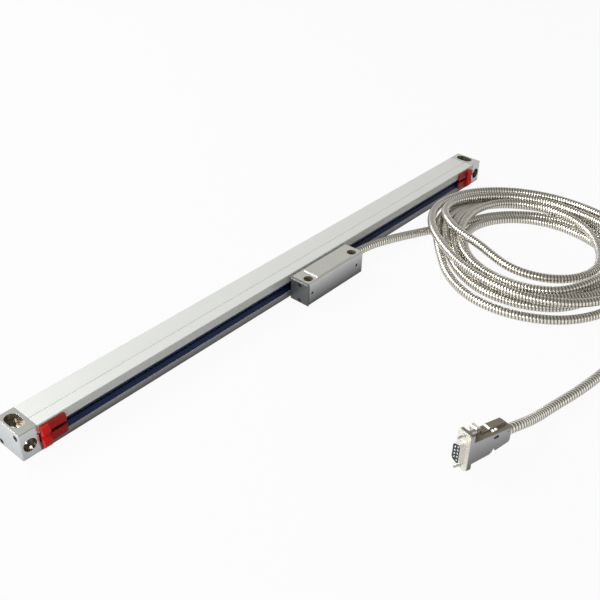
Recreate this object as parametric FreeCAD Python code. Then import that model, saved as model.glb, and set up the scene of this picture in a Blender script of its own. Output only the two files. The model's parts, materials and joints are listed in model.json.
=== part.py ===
import FreeCAD, Part
import os
from math import acos, degrees, hypot, pi, radians, tan

# An enclosed linear glass scale: an aluminium extrusion with a graduated glass strip inside, a reader head
# that slides along its front, two transit brackets, and an armoured cable coiled in front of it.
# Millimetres. X runs along the scale, -Y is the front where the head slides, +Z is up.
# z = 0 is the underside.
# Depths are measured from the front face of the extrusion towards the back, and depth() turns them into Y.

V = FreeCAD.Vector

# Overall sizes
LENGTH = 600.0
DEPTH = 29.0
HEIGHT = 24.0
HEAD_LENGTH = 80.0
HEAD_DEPTH = 20.6
HEAD_GAP = 2.2
HEAD_X = 17.5
CAP_LENGTH = 15.0
GASKET = 0.5

# Clearances
FIT = 0.05
LOOSE = 0.3
RUNNING = 0.5

# Extrusion
WALL = 2.4
EDGE = 0.5
OPENING_LOW = 6.5
OPENING_HIGH = 16.5
LIP_GROOVE_FRONT = 1.0
LIP_GROOVE_WIDTH = 1.1
LIP_GROOVE_DEEP = 1.1
LINE_DEPTH = 10.8
LINE_WIDTH = 0.6

# Screws that hold the end caps, M2.5: one near the top front, one near the bottom rear
CAP_SCREW_R = 1.2
CAP_SCREW_HEAD_R = 2.5
CAP_SCREW_HEAD = 2.4
CAP_SCREW_REACH = 8.0
CAP_SCREW_FRONT = (4.8, 19.1)
CAP_SCREW_REAR = (26.0, 3.2)
SCREW_BOSS = 1.7

# Lip seals
LIP_FRONT = 0.5
LIP_TIP_FRONT = 2.2
LIP_TIP_BACK = 3.0
LIP_GAP = 1.6

# Graduated glass in its groove under the top wall
GLASS_DEPTH = 16.4
GLASS_THICK = 2.2
GLASS_LOW = 9.5
GLASS_SHORT = 10.0
GLASS_SEAT = 1.2
CUSHION_THICK = 0.65
RIB_THICK = 1.15
RIB_DROP = 1.9

# End caps
CAP_EDGE = 0.5
CAP_HOLE_FROM_END = 7.4
SLOT_CENTRE = 16.0
SLOT_WIDTH = 6.0
SLOT_LENGTH = 13.0
SLOT_SINK_R = 5.2
SLOT_SINK_DEEP = 6.0
FRONT_HOLE_Z = 11.2
FRONT_HOLE_R = 3.0
FRONT_SINK_R = 5.5
FRONT_SINK_DEEP = 6.0
TONGUE_FRONT = 3.2
TONGUE_BACK = 21.0
TONGUE_LOW = 2.8
TONGUE_HIGH = 15.8
TONGUE_REACH = 4.0
NOTCH = (1.4, 1.2, 1.6)
GASKET_INSET = 0.6

# Transit brackets
BRACKET_LENGTH = 21.6
BRACKET_THICK = 1.8
BRACKET_LOW = 5.2
BRACKET_HIGH = 22.4
BRACKET_GAP = 0.1
BRACKET_CORNER = 1.5
BRACKET_SLIT = 2.8
BRACKET_PRONG = 7.2
POST_LENGTH = 6.4
# Side view of the post as (proud of the plate, z): two bosses with a valley between them
POST_UPPER_BOSS = [(0.0, 22.4), (0.96, 22.1), (3.2, 18.6), (3.0, 16.2)]
POST_VALLEY = [(0.64, 14.2), (0.64, 12.8)]
POST_LOWER_BOSS = [(2.8, 10.6), (3.1, 6.5), (1.6, 3.6)]
POST_FOOT_LOW = 2.6
LEFT_BRACKET_FROM_END = 16.0
RIGHT_BRACKET_FROM_END = 22.4
BRACKET_TONGUE_REACH = 4.0
BRACKET_TONGUE_LENGTH = 12.0
BRACKET_TONGUE_INSET = 1.6

# Blade that passes between the lips
BLADE_THICK = 1.0
BLADE_ROOT = 14.0
BLADE_WING = 22.0
BLADE_STEM = 6.0
BLADE_STEM_DEPTH = 4.0
BLADE_TIP_DEPTH = 6.0
CLAMP_HALF = 16.0
CLAMP_THICK = 4.5
CLAMP_HEIGHT = 7.0

# Reader head
HEAD_LOW = 0.5
HEAD_TOP = 23.0
TABLE_RAISED = 0.9
TABLE_LEFT = 15.5
TABLE_RIGHT = 16.0
TABLE_FRONT = 1.6
TABLE_BACK = 2.0
END_CHAMFER = 1.8
CORNER_RIGHT = 2.7
CORNER_LEFT = 1.5
TOP_FRONT_R = 1.6
COVER_THICK = 2.0
COVER_CHAMFER = 1.1
COVER_SCREW_DEPTH = 9.4
COVER_SCREW_SPREAD = 7.8
COVER_SCREW_REACH = 2.2
SMALL_SCREW_R = 1.0
SMALL_SCREW_HEAD_R = 1.9
SMALL_SCREW_HEAD = 1.0
MOUNT_HOLE_SPACING = 61.5
MOUNT_HOLE_SHIFT = -0.25
MOUNT_HOLE_FROM_FRONT = 7.3
MOUNT_HOLE_R = 2.3
MOUNT_SINK_R = 4.3
MOUNT_SINK_DEEP = 5.0
TAPPED_HOLE_R = 1.45
TAPPED_HOLE_DEEP = 4.5
TAPPED_HOLE_Z = 12.5
TAPPED_HOLE_LEFT = 33.5
TAPPED_HOLE_RIGHT = 29.5
CAVITY_HALF = 23.5
CAVITY_WALL = 3.0
CAVITY_LOW = 3.0
CAVITY_HIGH = 20.0
REAR_PLATE_THICK = 1.5
REAR_PLATE_SIDE = 3.5
REAR_PLATE_RIM = 1.2
REAR_SCREW_REACH = 4.0
BOARD_THICK = 1.6
BOARD_HALF = 20.0
BOARD_WIDTH = 9.0
BOARD_POST = 2.0
BOARD_POST_R = 1.5
WIRE_BORE_R = 2.6
SIDE_BORE_R = 3.0

# Cable entry
CABLE_DIAMETER = 8.4
ARC_SHARE = 0.45
CABLE_EXIT_FROM_REAR = 6.0
CABLE_EXIT_Z = 12.0
FERRULE_R = 4.9
FERRULE_INSIDE = 6.0
FERRULE_PROUD = 1.5

# Scanning carriage, which straddles the glass from below
CARRIAGE_HALF = 20.0
CARRIAGE_FRONT = 8.2
CARRIAGE_LOW = 3.8
FRONT_LEG_THICK = 7.4
FRONT_LEG_DROP = 4.8
BRIDGE_THICK = 5.0
REAR_LEG_THICK = 3.2
REAR_LEG_DROP = 6.5
OPTIC_DROP = 5.0
LENS_R = 2.0
LENS_THICK = 2.0
WINDOW_HALF = 4.0
WINDOW_HEIGHT = 4.0
GRATING_GAP = 0.6
GRATING_THICK = 1.2
GRATING_HALF = 5.0
LED_BOARD_THICK = 1.0
LED_BOARD_HALF = 8.0
LED_BOARD_HEIGHT = 6.6
DETECTOR_THICK = 1.0
DETECTOR_HALF = 9.0
DETECTOR_HEIGHT = 7.3
ROD_R = 0.6
ROD_REACH = 12.0
ROD_DEPTH = 5.4
BALL_R = 1.2
LUG_LENGTH = 4.0
LUG_FRONT = 3.6
LUG_HEIGHT = 4.0

# Rollers, small ball bearings on pins
ROLLER_R = 2.5
ROLLER_WIDTH = 2.5
ROLLER_BORE_R = 1.05
PIN_R = 1.0
RECESS_IN = 0.35
RECESS_OUT = 0.7
ROLLER_POCKET = 3.1
LOWER_ROLLER_X = 15.0
LOWER_ROLLER_Z = 11.25
UPPER_ROLLER_DROP = 7.0
EDGE_ROLLER_X = 13.0
PIN_SEAT = 1.2

# Nine-way D connector. It is drawn lying along X from its mating face back to the cable, Y is its thickness.
PLUG_PLACE = (-101.1, -238.7, 1.2)
PLUG_TURN = (-17.0, 4.0, -4.5)
FLANGE_LENGTH = 30.8
FLANGE_WIDTH = 12.5
FLANGE_THICK = 1.0
SHELL_LENGTH = 16.6
SHELL_WIDTH = 7.9
SHELL_PROUD = 5.8
SHELL_WALL = 0.5
D_SLOPE = 10.0
D_CORNER = 0.18
INSULATOR_BACK = 5.0
CONTACT_PITCH = 2.77
ROW_SPACING = 2.84
CONTACT_R = 0.8
CONTACT_BORE_R = 0.5
CONTACT_LENGTH = 9.0
CONTACT_BORE_DEEP = 5.4
JACK_SPACING = 25.0
JACK_R = 1.4
JACK_TIP_R = 1.0
JACK_TIP = 5.5
JACK_HEAD_R = 2.2
JACK_HEAD = 5.0
JACK_SLOT_DEEP = 1.2
COLLAR_BACK = 4.6
HOOD_LENGTH = 41.0
HOOD_WALL = 1.3
HOOD_LOW = 7.5
HOOD_HIGH = 24.2
HOOD_EDGE = 0.8
HOOD_RIM = 0.2
HOOD_TAIL = 10.5
HOOD_TAPER = 2.0
HOOD_SCREW_R = 1.0
# Side view of the hood as (distance behind the mating face, height): collar, finger notch and tooth
HOOD_COLLAR_LOW = [(1.0, 0.2), (3.6, 0.2), (4.6, 1.2), (4.6, 5.5)]
# Notch, tooth, inner room and screws as distances in front of the hood's rear end
HOOD_NOTCH = [(19.8, 7.5), (17.8, 8.9), (16.4, 11.7), (14.2, 8.9), (12.2, 9.5)]
HOOD_ROOM = 18.5
HOOD_SCREWS = [(11.5, 11.1), (4.1, 22.4)]
HOOD_END_LOW = 12.7
HOOD_SAG = 0.4
CABLE_SEAT_H = 17.2

# Free cable: hand-chosen route points and the outer shape of its coil
HEAD_TAIL = [(72.0, -11.3, 12.0), (90.0, -13.6, 11.4), (106.0, -16.6, 9.8), (125.0, -20.6, 7.4),
             (143.7, -25.9, 5.4), (158.0, -31.0, 4.5)]
PLUG_TAIL = [(-47.2, -247.3, 14.1), (-33.5, -249.5, 10.4), (-17.5, -250.7, 6.2), (2.0, -253.0, 4.3),
             (25.2, -258.0, 4.3), (52.6, -262.2, 4.3), (85.0, -264.6, 4.3), (118.0, -262.6, 4.3),
             (147.0, -256.2, 4.3), (168.0, -247.5, 4.3), (186.0, -238.0, 4.3)]
COIL_CENTRE = (190.0, -130.6)
COIL_R = 113.0
COIL_HOLE_CENTRE = (202.0, -125.1)
COIL_HOLE_R = 57.0
COIL_LOW = 0.1
COIL_HIGH = 25.0

# Places that follow from the sizes above
REAR_Y = (DEPTH + HEAD_GAP + HEAD_DEPTH) / 2
FACE_Y = REAR_Y - DEPTH
HALF = LENGTH / 2
BODY_HALF = HALF - CAP_LENGTH - GASKET
CAP_INNER = HALF - CAP_LENGTH
SLOT_Z = (OPENING_LOW + OPENING_HIGH) / 2
HEAD_REAR = FACE_Y - HEAD_GAP
HEAD_FRONT = HEAD_REAR - HEAD_DEPTH
HEAD_LEFT = HEAD_X - HEAD_LENGTH / 2
HEAD_RIGHT = HEAD_X + HEAD_LENGTH / 2
HEAD_BODY_LEFT = HEAD_LEFT + COVER_THICK + GASKET
CABLE_EXIT_Y = HEAD_REAR - CABLE_EXIT_FROM_REAR
MOUNT_HOLE_Y = HEAD_FRONT + MOUNT_HOLE_FROM_FRONT
RECESS_Y = HEAD_REAR - REAR_PLATE_THICK
REAR_PLATE_HALF = CAVITY_HALF + REAR_PLATE_SIDE
REAR_SCREW_INSET = SMALL_SCREW_HEAD_R + 2 * FIT
PLATE_LOW = CAVITY_LOW - REAR_PLATE_RIM
PLATE_HIGH = CAVITY_HIGH + REAR_PLATE_RIM
GLASS_BACK = GLASS_DEPTH + GLASS_THICK
GROOVE_BACK = GLASS_BACK + CUSHION_THICK + 2 * FIT
GROOVE_HIGH = HEIGHT - WALL + GLASS_SEAT
LEG_BACK = CARRIAGE_FRONT + FRONT_LEG_THICK
BRIDGE_TOP = CARRIAGE_LOW + BRIDGE_THICK
FRONT_LEG_HIGH = HEIGHT - FRONT_LEG_DROP
REAR_LEG_HIGH = HEIGHT - REAR_LEG_DROP
UPPER_ROLLER_Z = HEIGHT - UPPER_ROLLER_DROP
OPTIC_Z = UPPER_ROLLER_Z - OPTIC_DROP
GRATING_HEIGHT = 2 * (OPTIC_Z - BRIDGE_TOP)
REAR_LEG_FRONT = GLASS_BACK + GRATING_GAP + GRATING_THICK
REAR_LEG_BACK = REAR_LEG_FRONT + REAR_LEG_THICK
FACE_ROLLER_DEPTH = GLASS_DEPTH - FIT - ROLLER_R
EDGE_ROLLER_Z = GLASS_LOW - FIT - ROLLER_R
EDGE_ROLLER_DEPTH = GLASS_DEPTH + GLASS_THICK / 2
FACE_ROLLERS = [("lower_left_roller", -LOWER_ROLLER_X, LOWER_ROLLER_Z),
                ("lower_right_roller", LOWER_ROLLER_X, LOWER_ROLLER_Z),
                ("upper_roller", 0.0, UPPER_ROLLER_Z)]
EDGE_ROLLERS = [("left_edge_roller", -EDGE_ROLLER_X), ("right_edge_roller", EDGE_ROLLER_X)]


def depth(value):
    """Y of a depth behind the extrusion's front face."""
    return FACE_Y + value


def box(x0, x1, y0, y1, z0, z1):
    return Part.makeBox(x1 - x0, y1 - y0, z1 - z0, V(x0, y0, z0))


def rod(start, direction, radius, length):
    return Part.makeCylinder(radius, length, V(*start), V(*direction))


def prism(points, travel):
    """Solid swept along a vector from a closed outline of 3-D points."""
    corners = [V(*point) for point in points]
    face = Part.Face(Part.makePolygon(corners + corners[:1]))
    return face.extrude(V(*travel))


def along_x(outline, x0, x1):
    return prism([(x0, y, z) for y, z in outline], (x1 - x0, 0, 0))


def along_y(outline, y0, y1):
    return prism([(x, y0, z) for x, z in outline], (0, y1 - y0, 0))


def along_z(outline, z0, z1):
    return prism([(x, y, z0) for x, y in outline], (0, 0, z1 - z0))


def cut_corners(a0, a1, b0, b1, cut):
    """Rectangle outline with its four corners cut at 45 degrees."""
    return [(a0 + cut, b0), (a1 - cut, b0), (a1, b0 + cut), (a1, b1 - cut),
            (a1 - cut, b1), (a0 + cut, b1), (a0, b1 - cut), (a0, b0 + cut)]


def slot_down(x, y0, y1, radius, z0, z1):
    """Vertical obround from y0 to y1, its ends rounded with the radius."""
    ends = rod((x, y0 + radius, z0), (0, 0, 1), radius, z1 - z0)
    ends = ends.fuse(rod((x, y1 - radius, z0), (0, 0, 1), radius, z1 - z0))
    return ends.fuse(box(x - radius, x + radius, y0 + radius, y1 - radius, z0, z1)).removeSplitter()


def round_edges(shape, radius, chosen):
    """Fillet the edges whose middle the chosen test accepts."""
    edges = [edge for edge in shape.Edges if chosen(edge.CenterOfMass, edge)]
    return shape.makeFillet(radius, edges)


def mirror_x(shape):
    return shape.mirror(V(0, 0, 0), V(1, 0, 0))


def save(name, shape):
    """Write one node, as one solid or as a group of separate solids."""
    if not shape.isValid():
        raise ValueError(name + " is not a valid solid")
    shape.exportStep("parts/" + name + ".step")
    print(name, len(shape.Solids), "solid", round(shape.Volume, 1), "mm3")


def screw_port(point, x0, x1, clearance):
    y, z = point
    return rod((x0, depth(y), z), (1, 0, 0), CAP_SCREW_R + clearance, x1 - x0)


def chamber_outline():
    """Hollow of the extrusion, with a screw boss left standing in two of its corners."""
    front, back = depth(WALL), depth(DEPTH - WALL)
    low, high = WALL, HEIGHT - WALL
    boss_front = depth(CAP_SCREW_FRONT[0] + CAP_SCREW_R + SCREW_BOSS)
    boss_rear = depth(CAP_SCREW_REAR[0] - CAP_SCREW_R - RUNNING)
    boss_rear_top = CAP_SCREW_REAR[1] + CAP_SCREW_R + RUNNING
    return [(front, low), (boss_rear, low), (boss_rear, boss_rear_top), (back, boss_rear_top),
            (back, high), (boss_front, high), (boss_front, OPENING_HIGH), (front, OPENING_HIGH)]


def glass_ribs():
    """Two ribs that hang from the top wall and hold the glass between them."""
    low, high = HEIGHT - WALL - RIB_DROP, HEIGHT - WALL
    front = depth(GLASS_DEPTH - FIT)
    back = depth(GROOVE_BACK)
    return box(-BODY_HALF, BODY_HALF, front - RIB_THICK, front, low, high + EDGE).fuse(
        box(-BODY_HALF, BODY_HALF, back, back + RIB_THICK, low, high + EDGE))


def housing():
    """Aluminium extrusion, open along its front between the lip grooves."""
    ends = (-BODY_HALF, BODY_HALF)
    body = along_x(cut_corners(FACE_Y, REAR_Y, 0, HEIGHT, EDGE), *ends)
    body = body.cut(along_x(chamber_outline(), *ends))
    body = body.fuse(glass_ribs())
    body = body.cut(box(*ends, FACE_Y, depth(WALL), OPENING_LOW, OPENING_HIGH))
    groove_front = depth(LIP_GROOVE_FRONT)
    body = body.cut(box(*ends, groove_front, groove_front + LIP_GROOVE_WIDTH,
                        OPENING_LOW - LIP_GROOVE_DEEP, OPENING_HIGH + LIP_GROOVE_DEEP))
    body = body.cut(box(*ends, depth(GLASS_DEPTH - FIT), depth(GROOVE_BACK),
                        HEIGHT - WALL - RIB_DROP, GROOVE_HIGH))
    line = depth(LINE_DEPTH)
    body = body.cut(along_x([(line - LINE_WIDTH / 2, HEIGHT), (line + LINE_WIDTH / 2, HEIGHT),
                             (line, HEIGHT - LINE_WIDTH / 2)], *ends))
    reach = CAP_SCREW_REACH + RUNNING
    for point in (CAP_SCREW_FRONT, CAP_SCREW_REAR):
        body = body.cut(screw_port(point, BODY_HALF - reach, BODY_HALF, FIT))
        body = body.cut(screw_port(point, -BODY_HALF, -BODY_HALF + reach, FIT))
    return body.removeSplitter()


def lip(side):
    """Lip seal: a bead held in its groove and a blade that leans inwards to the slot. side is +1 above."""
    edge = (OPENING_HIGH - OPENING_LOW) / 2
    bead_front = LIP_GROOVE_FRONT + FIT
    bead_back = LIP_GROOVE_FRONT + LIP_GROOVE_WIDTH - FIT
    heights = [(bead_front, edge + LIP_GROOVE_DEEP - FIT), (bead_back, edge + LIP_GROOVE_DEEP - FIT),
               (bead_back, edge - FIT), (LIP_TIP_BACK, LIP_GAP / 2 + RUNNING), (LIP_TIP_BACK, LIP_GAP / 2),
               (LIP_TIP_FRONT, LIP_GAP / 2), (LIP_FRONT, edge - RUNNING), (LIP_FRONT, edge - FIT),
               (bead_front, edge - FIT)]
    return along_x([(depth(y), SLOT_Z + side * z) for y, z in heights], -BODY_HALF, BODY_HALF)


def glass_scale():
    half = HALF - CAP_LENGTH - GLASS_SHORT
    return box(-half, half, depth(GLASS_DEPTH), depth(GLASS_BACK), GLASS_LOW, GROOVE_HIGH - FIT)


def glass_cushion():
    half = HALF - CAP_LENGTH - GLASS_SHORT
    front = depth(GLASS_BACK + FIT)
    return box(-half, half, front, front + CUSHION_THICK, HEIGHT - WALL - RIB_DROP, GROOVE_HIGH - FIT)


def cap_screw_holes(x0, x1, head_from):
    """Clearance holes and head recesses of both cap screws."""
    holes = None
    for point in (CAP_SCREW_FRONT, CAP_SCREW_REAR):
        y, z = point
        hole = screw_port(point, x0, x1, FIT)
        hole = hole.fuse(rod((head_from, depth(y), z), (1, 0, 0), CAP_SCREW_HEAD_R + FIT, x1 - head_from))
        holes = hole if holes is None else holes.fuse(hole)
    return holes


def end_cap():
    """Right end cap: slotted from above and drilled from the front for its fixing screw."""
    cap = along_x(cut_corners(FACE_Y, REAR_Y, 0, HEIGHT, CAP_EDGE), CAP_INNER, HALF)
    cap = cap.common(along_z(cut_corners(CAP_INNER - CAP_EDGE, HALF, FACE_Y, REAR_Y, CAP_EDGE), 0, HEIGHT))
    cap = cap.common(along_y(cut_corners(CAP_INNER - CAP_EDGE, HALF, 0, HEIGHT, CAP_EDGE), FACE_Y, REAR_Y))
    tongue = box(CAP_INNER - TONGUE_REACH, CAP_INNER + CAP_EDGE, depth(TONGUE_FRONT), depth(TONGUE_BACK),
                 TONGUE_LOW, TONGUE_HIGH)
    cap = cap.fuse(tongue)
    x = HALF - CAP_HOLE_FROM_END
    middle = depth(SLOT_CENTRE)
    cap = cap.cut(slot_down(x, middle - SLOT_LENGTH / 2, middle + SLOT_LENGTH / 2, SLOT_WIDTH / 2, 0, HEIGHT))
    sink = SLOT_LENGTH / 2 + SLOT_SINK_R - SLOT_WIDTH / 2
    cap = cap.cut(slot_down(x, middle - sink, middle + sink, SLOT_SINK_R, HEIGHT - SLOT_SINK_DEEP, HEIGHT))
    cap = cap.cut(rod((x, FACE_Y, FRONT_HOLE_Z), (0, 1, 0), FRONT_HOLE_R, DEPTH))
    cap = cap.cut(rod((x, FACE_Y, FRONT_HOLE_Z), (0, 1, 0), FRONT_SINK_R, FRONT_SINK_DEEP))
    cap = cap.cut(cap_screw_holes(CAP_INNER, HALF, HALF - CAP_SCREW_HEAD - LOOSE))
    long, deep, high = NOTCH
    cap = cap.cut(box(CAP_INNER, CAP_INNER + long, FACE_Y, FACE_Y + deep, OPENING_HIGH - RUNNING,
                      OPENING_HIGH - RUNNING + high))
    return cap.removeSplitter()


def end_gasket():
    """Right end gasket, with openings for the cap's tongue and its screws."""
    sheet = box(BODY_HALF, CAP_INNER, FACE_Y + GASKET_INSET, REAR_Y - GASKET_INSET, GASKET_INSET,
                HEIGHT - GASKET_INSET)
    sheet = sheet.cut(box(BODY_HALF, CAP_INNER, depth(TONGUE_FRONT) - FIT, depth(TONGUE_BACK) + FIT,
                          TONGUE_LOW - FIT, TONGUE_HIGH + FIT))
    for point in (CAP_SCREW_FRONT, CAP_SCREW_REAR):
        sheet = sheet.cut(screw_port(point, BODY_HALF, CAP_INNER, FIT))
    return sheet


def cap_screws():
    """Both socket-head screws of the right end cap."""
    head_seat = HALF - CAP_SCREW_HEAD - LOOSE
    tip = BODY_HALF - CAP_SCREW_REACH
    screws = []
    for point in (CAP_SCREW_FRONT, CAP_SCREW_REAR):
        y, z = point
        shank = rod((tip, depth(y), z), (1, 0, 0), CAP_SCREW_R, head_seat - tip)
        head = rod((head_seat, depth(y), z), (1, 0, 0), CAP_SCREW_HEAD_R, CAP_SCREW_HEAD)
        screws.append(shank.fuse(head).cut(hex_socket((HALF - LOOSE, depth(y), z), CAP_SCREW_R)))
    return Part.makeCompound(screws)


def hex_socket(centre, half_flats):
    """Hexagonal socket that opens towards +X and goes as deep as it is wide."""
    x, y, z = centre
    across = half_flats / 0.866
    corners = [(0, 1), (0.866, 0.5), (0.866, -0.5), (0, -1), (-0.866, -0.5), (-0.866, 0.5)]
    return along_x([(y + across * a, z + across * b) for a, b in corners], x - half_flats, x + FIT)


def bracket_plate(x0, x1):
    """Face plate with rounded corners, slit from its inner end up to the post."""
    back = FACE_Y - BRACKET_GAP
    front = back - BRACKET_THICK
    plate = box(x0, x1, front, back, BRACKET_LOW, BRACKET_HIGH)
    plate = round_edges(plate, BRACKET_CORNER, lambda middle, edge: abs(edge.Length - BRACKET_THICK) < FIT)
    slit_low = BRACKET_LOW + BRACKET_PRONG
    return plate.cut(box(x0 + POST_LENGTH, x1, front, back, slit_low, slit_low + BRACKET_SLIT))


def bracket_post(x0):
    """Grip at the outer end: two rounded bosses with a valley between them, at the level of the slit."""
    front = FACE_Y - BRACKET_GAP - BRACKET_THICK
    back = front + BRACKET_THICK
    low = BRACKET_LOW - POST_FOOT_LOW
    profile = POST_UPPER_BOSS + POST_VALLEY + POST_LOWER_BOSS
    outline = [(front - proud, z) for proud, z in profile] + [(front, low), (front, BRACKET_LOW)]
    top = BRACKET_HIGH - BRACKET_CORNER
    foot = [(back, top), (front, top), (front, low), (back, low)]
    return along_x(outline, x0, x0 + POST_LENGTH).fuse(along_x(foot, x0, x0 + POST_LENGTH))


def bracket(x0):
    """Left transit bracket: plate, post, and a tongue that grips between the lips."""
    x1 = x0 + BRACKET_LENGTH
    tongue = box(x1 - BRACKET_TONGUE_INSET - BRACKET_TONGUE_LENGTH, x1 - BRACKET_TONGUE_INSET,
                 FACE_Y - BRACKET_GAP - FIT, depth(BRACKET_TONGUE_REACH),
                 SLOT_Z - BLADE_THICK / 2, SLOT_Z + BLADE_THICK / 2)
    return bracket_plate(x0, x1).fuse(bracket_post(x0)).fuse(tongue).removeSplitter()


def head_outer():
    """Head body before its holes: plan, front and end outlines intersected, with the raised table on top."""
    back = HEAD_REAR
    right, left = HEAD_RIGHT, HEAD_BODY_LEFT
    block = box(left, right, HEAD_FRONT, back, HEAD_LOW, HEAD_TOP)
    tall = HEAD_TOP - HEAD_LOW
    upright = lambda middle, edge: abs(edge.Length - tall) < FIT and middle.y < HEAD_FRONT + FIT
    block = round_edges(block, CORNER_RIGHT, lambda middle, edge: upright(middle, edge) and middle.x > HEAD_X)
    ends = along_y([(left, HEAD_LOW), (right - END_CHAMFER, HEAD_LOW), (right, HEAD_LOW + END_CHAMFER),
                    (right, HEAD_TOP - END_CHAMFER), (right - END_CHAMFER, HEAD_TOP), (left, HEAD_TOP)],
                   HEAD_FRONT, back)
    side = box(left, right, HEAD_FRONT, back, HEAD_LOW, HEAD_TOP)
    along = lambda middle, edge: edge.Length > HEAD_LENGTH / 2 and middle.y < HEAD_FRONT + FIT
    side = round_edges(side, TOP_FRONT_R, along)
    return block.common(ends).common(side).fuse(head_table()).removeSplitter()


def head_table():
    """Raised table on top of the head, its edges chamfered down to the top face."""
    x0, x1 = HEAD_X - HEAD_LENGTH / 2 + TABLE_LEFT, HEAD_RIGHT - TABLE_RIGHT
    y0, y1 = HEAD_FRONT + TABLE_FRONT, HEAD_REAR - TABLE_BACK
    low, high = HEAD_TOP - FIT, HEAD_TOP + TABLE_RAISED
    run = TABLE_RAISED
    wide = along_y([(x0, low), (x1, low), (x1 - run, high), (x0 + run, high)], y0, y1)
    return wide.common(along_x([(y0, low), (y1, low), (y1 - run, high), (y0 + run, high)], x0, x1))


def head_holes():
    """Mounting holes with their counterbores, and the tapped holes in the front."""
    holes = []
    for side in (-1, 1):
        x = HEAD_X + MOUNT_HOLE_SHIFT + side * MOUNT_HOLE_SPACING / 2
        holes.append(rod((x, MOUNT_HOLE_Y, HEAD_LOW), (0, 0, 1), MOUNT_HOLE_R, HEAD_TOP - HEAD_LOW))
        holes.append(rod((x, MOUNT_HOLE_Y, HEAD_TOP - MOUNT_SINK_DEEP), (0, 0, 1), MOUNT_SINK_R,
                         MOUNT_SINK_DEEP + TABLE_RAISED))
    for x in (HEAD_X - TAPPED_HOLE_LEFT, HEAD_X + TAPPED_HOLE_RIGHT):
        holes.append(rod((x, HEAD_FRONT, TAPPED_HOLE_Z), (0, 1, 0), TAPPED_HOLE_R, TAPPED_HOLE_DEEP))
    return holes


def rear_screw_places():
    for side in (-1, 1):
        for z in (PLATE_LOW + REAR_SCREW_INSET, PLATE_HIGH - REAR_SCREW_INSET):
            yield HEAD_X + side * (REAR_PLATE_HALF - REAR_SCREW_INSET), z


def board_posts():
    """Four posts on the cavity floor under the head's circuit board."""
    y0 = HEAD_FRONT + CAVITY_WALL + BOARD_POST_R
    for side in (-1, 1):
        for y in (y0, y0 + BOARD_WIDTH - BOARD_POST_R):
            yield rod((HEAD_X + side * (BOARD_HALF - BOARD_POST_R), y, CAVITY_LOW - FIT), (0, 0, 1),
                      BOARD_POST_R, BOARD_POST + FIT)


def head_housing():
    """Die-cast head body: cavity open to the rear, cable bore, side bore and screw holes."""
    body = head_outer()
    cavity = box(HEAD_X - CAVITY_HALF, HEAD_X + CAVITY_HALF, HEAD_FRONT + CAVITY_WALL, HEAD_REAR,
                 CAVITY_LOW, CAVITY_HIGH)
    body = body.cut(cavity)
    body = body.cut(box(HEAD_X - REAR_PLATE_HALF - FIT, HEAD_X + REAR_PLATE_HALF + FIT, RECESS_Y, HEAD_REAR,
                        PLATE_LOW - FIT, PLATE_HIGH + FIT))
    for post in board_posts():
        body = body.fuse(post)
    for hole in head_holes():
        body = body.cut(hole)
    bore = HEAD_RIGHT - FERRULE_INSIDE
    body = body.cut(rod((bore, CABLE_EXIT_Y, CABLE_EXIT_Z), (1, 0, 0), FERRULE_R + FIT, FERRULE_INSIDE))
    body = body.cut(rod((HEAD_X, CABLE_EXIT_Y, CABLE_EXIT_Z), (1, 0, 0), WIRE_BORE_R, bore - HEAD_X))
    body = body.cut(rod((HEAD_BODY_LEFT, CABLE_EXIT_Y, CABLE_EXIT_Z), (1, 0, 0), SIDE_BORE_R,
                        HEAD_X - HEAD_BODY_LEFT))
    for x, z in rear_screw_places():
        body = body.cut(rod((x, RECESS_Y - REAR_SCREW_REACH - LOOSE, z), (0, 1, 0), SMALL_SCREW_R + FIT,
                            REAR_SCREW_REACH + LOOSE))
    for y, z in cover_screw_places():
        body = body.cut(rod((HEAD_BODY_LEFT, y, z), (1, 0, 0), SMALL_SCREW_R + FIT, COVER_SCREW_REACH + FIT))
    return body.removeSplitter()


def cover_screw_places():
    y = HEAD_FRONT + COVER_SCREW_DEPTH
    middle = (HEAD_LOW + HEAD_TOP) / 2
    return [(y, middle - COVER_SCREW_SPREAD), (y, middle + COVER_SCREW_SPREAD)]


def head_end_cover():
    """Left end cover: a plate with a bright chamfer round its outer face and two countersunk screw holes."""
    x0, x1 = HEAD_LEFT, HEAD_LEFT + COVER_THICK
    cut = COVER_CHAMFER
    cover = box(x0, x1, HEAD_FRONT, HEAD_REAR, HEAD_LOW, HEAD_TOP)
    tall = HEAD_TOP - HEAD_LOW
    upright = lambda middle, edge: abs(edge.Length - tall) < FIT and middle.y < HEAD_FRONT + FIT
    cover = round_edges(cover, CORNER_LEFT, upright_left(upright, x0))
    ends = along_y([(x0, HEAD_LOW + cut), (x0 + cut, HEAD_LOW), (x1, HEAD_LOW), (x1, HEAD_TOP),
                    (x0 + cut, HEAD_TOP), (x0, HEAD_TOP - cut)], HEAD_FRONT, HEAD_REAR)
    rear = along_z([(x0, HEAD_FRONT), (x1, HEAD_FRONT), (x1, HEAD_REAR), (x0 + cut, HEAD_REAR),
                    (x0, HEAD_REAR - cut)], HEAD_LOW, HEAD_TOP)
    cover = cover.common(ends).common(rear)
    for y, z in cover_screw_places():
        cover = cover.cut(rod((x0, y, z), (1, 0, 0), SMALL_SCREW_R + FIT, COVER_THICK))
        cover = cover.cut(rod((x0, y, z), (1, 0, 0), SMALL_SCREW_HEAD_R + FIT, SMALL_SCREW_HEAD + FIT))
    return cover


def upright_left(upright, x0):
    return lambda middle, edge: upright(middle, edge) and middle.x < x0 + FIT


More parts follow.
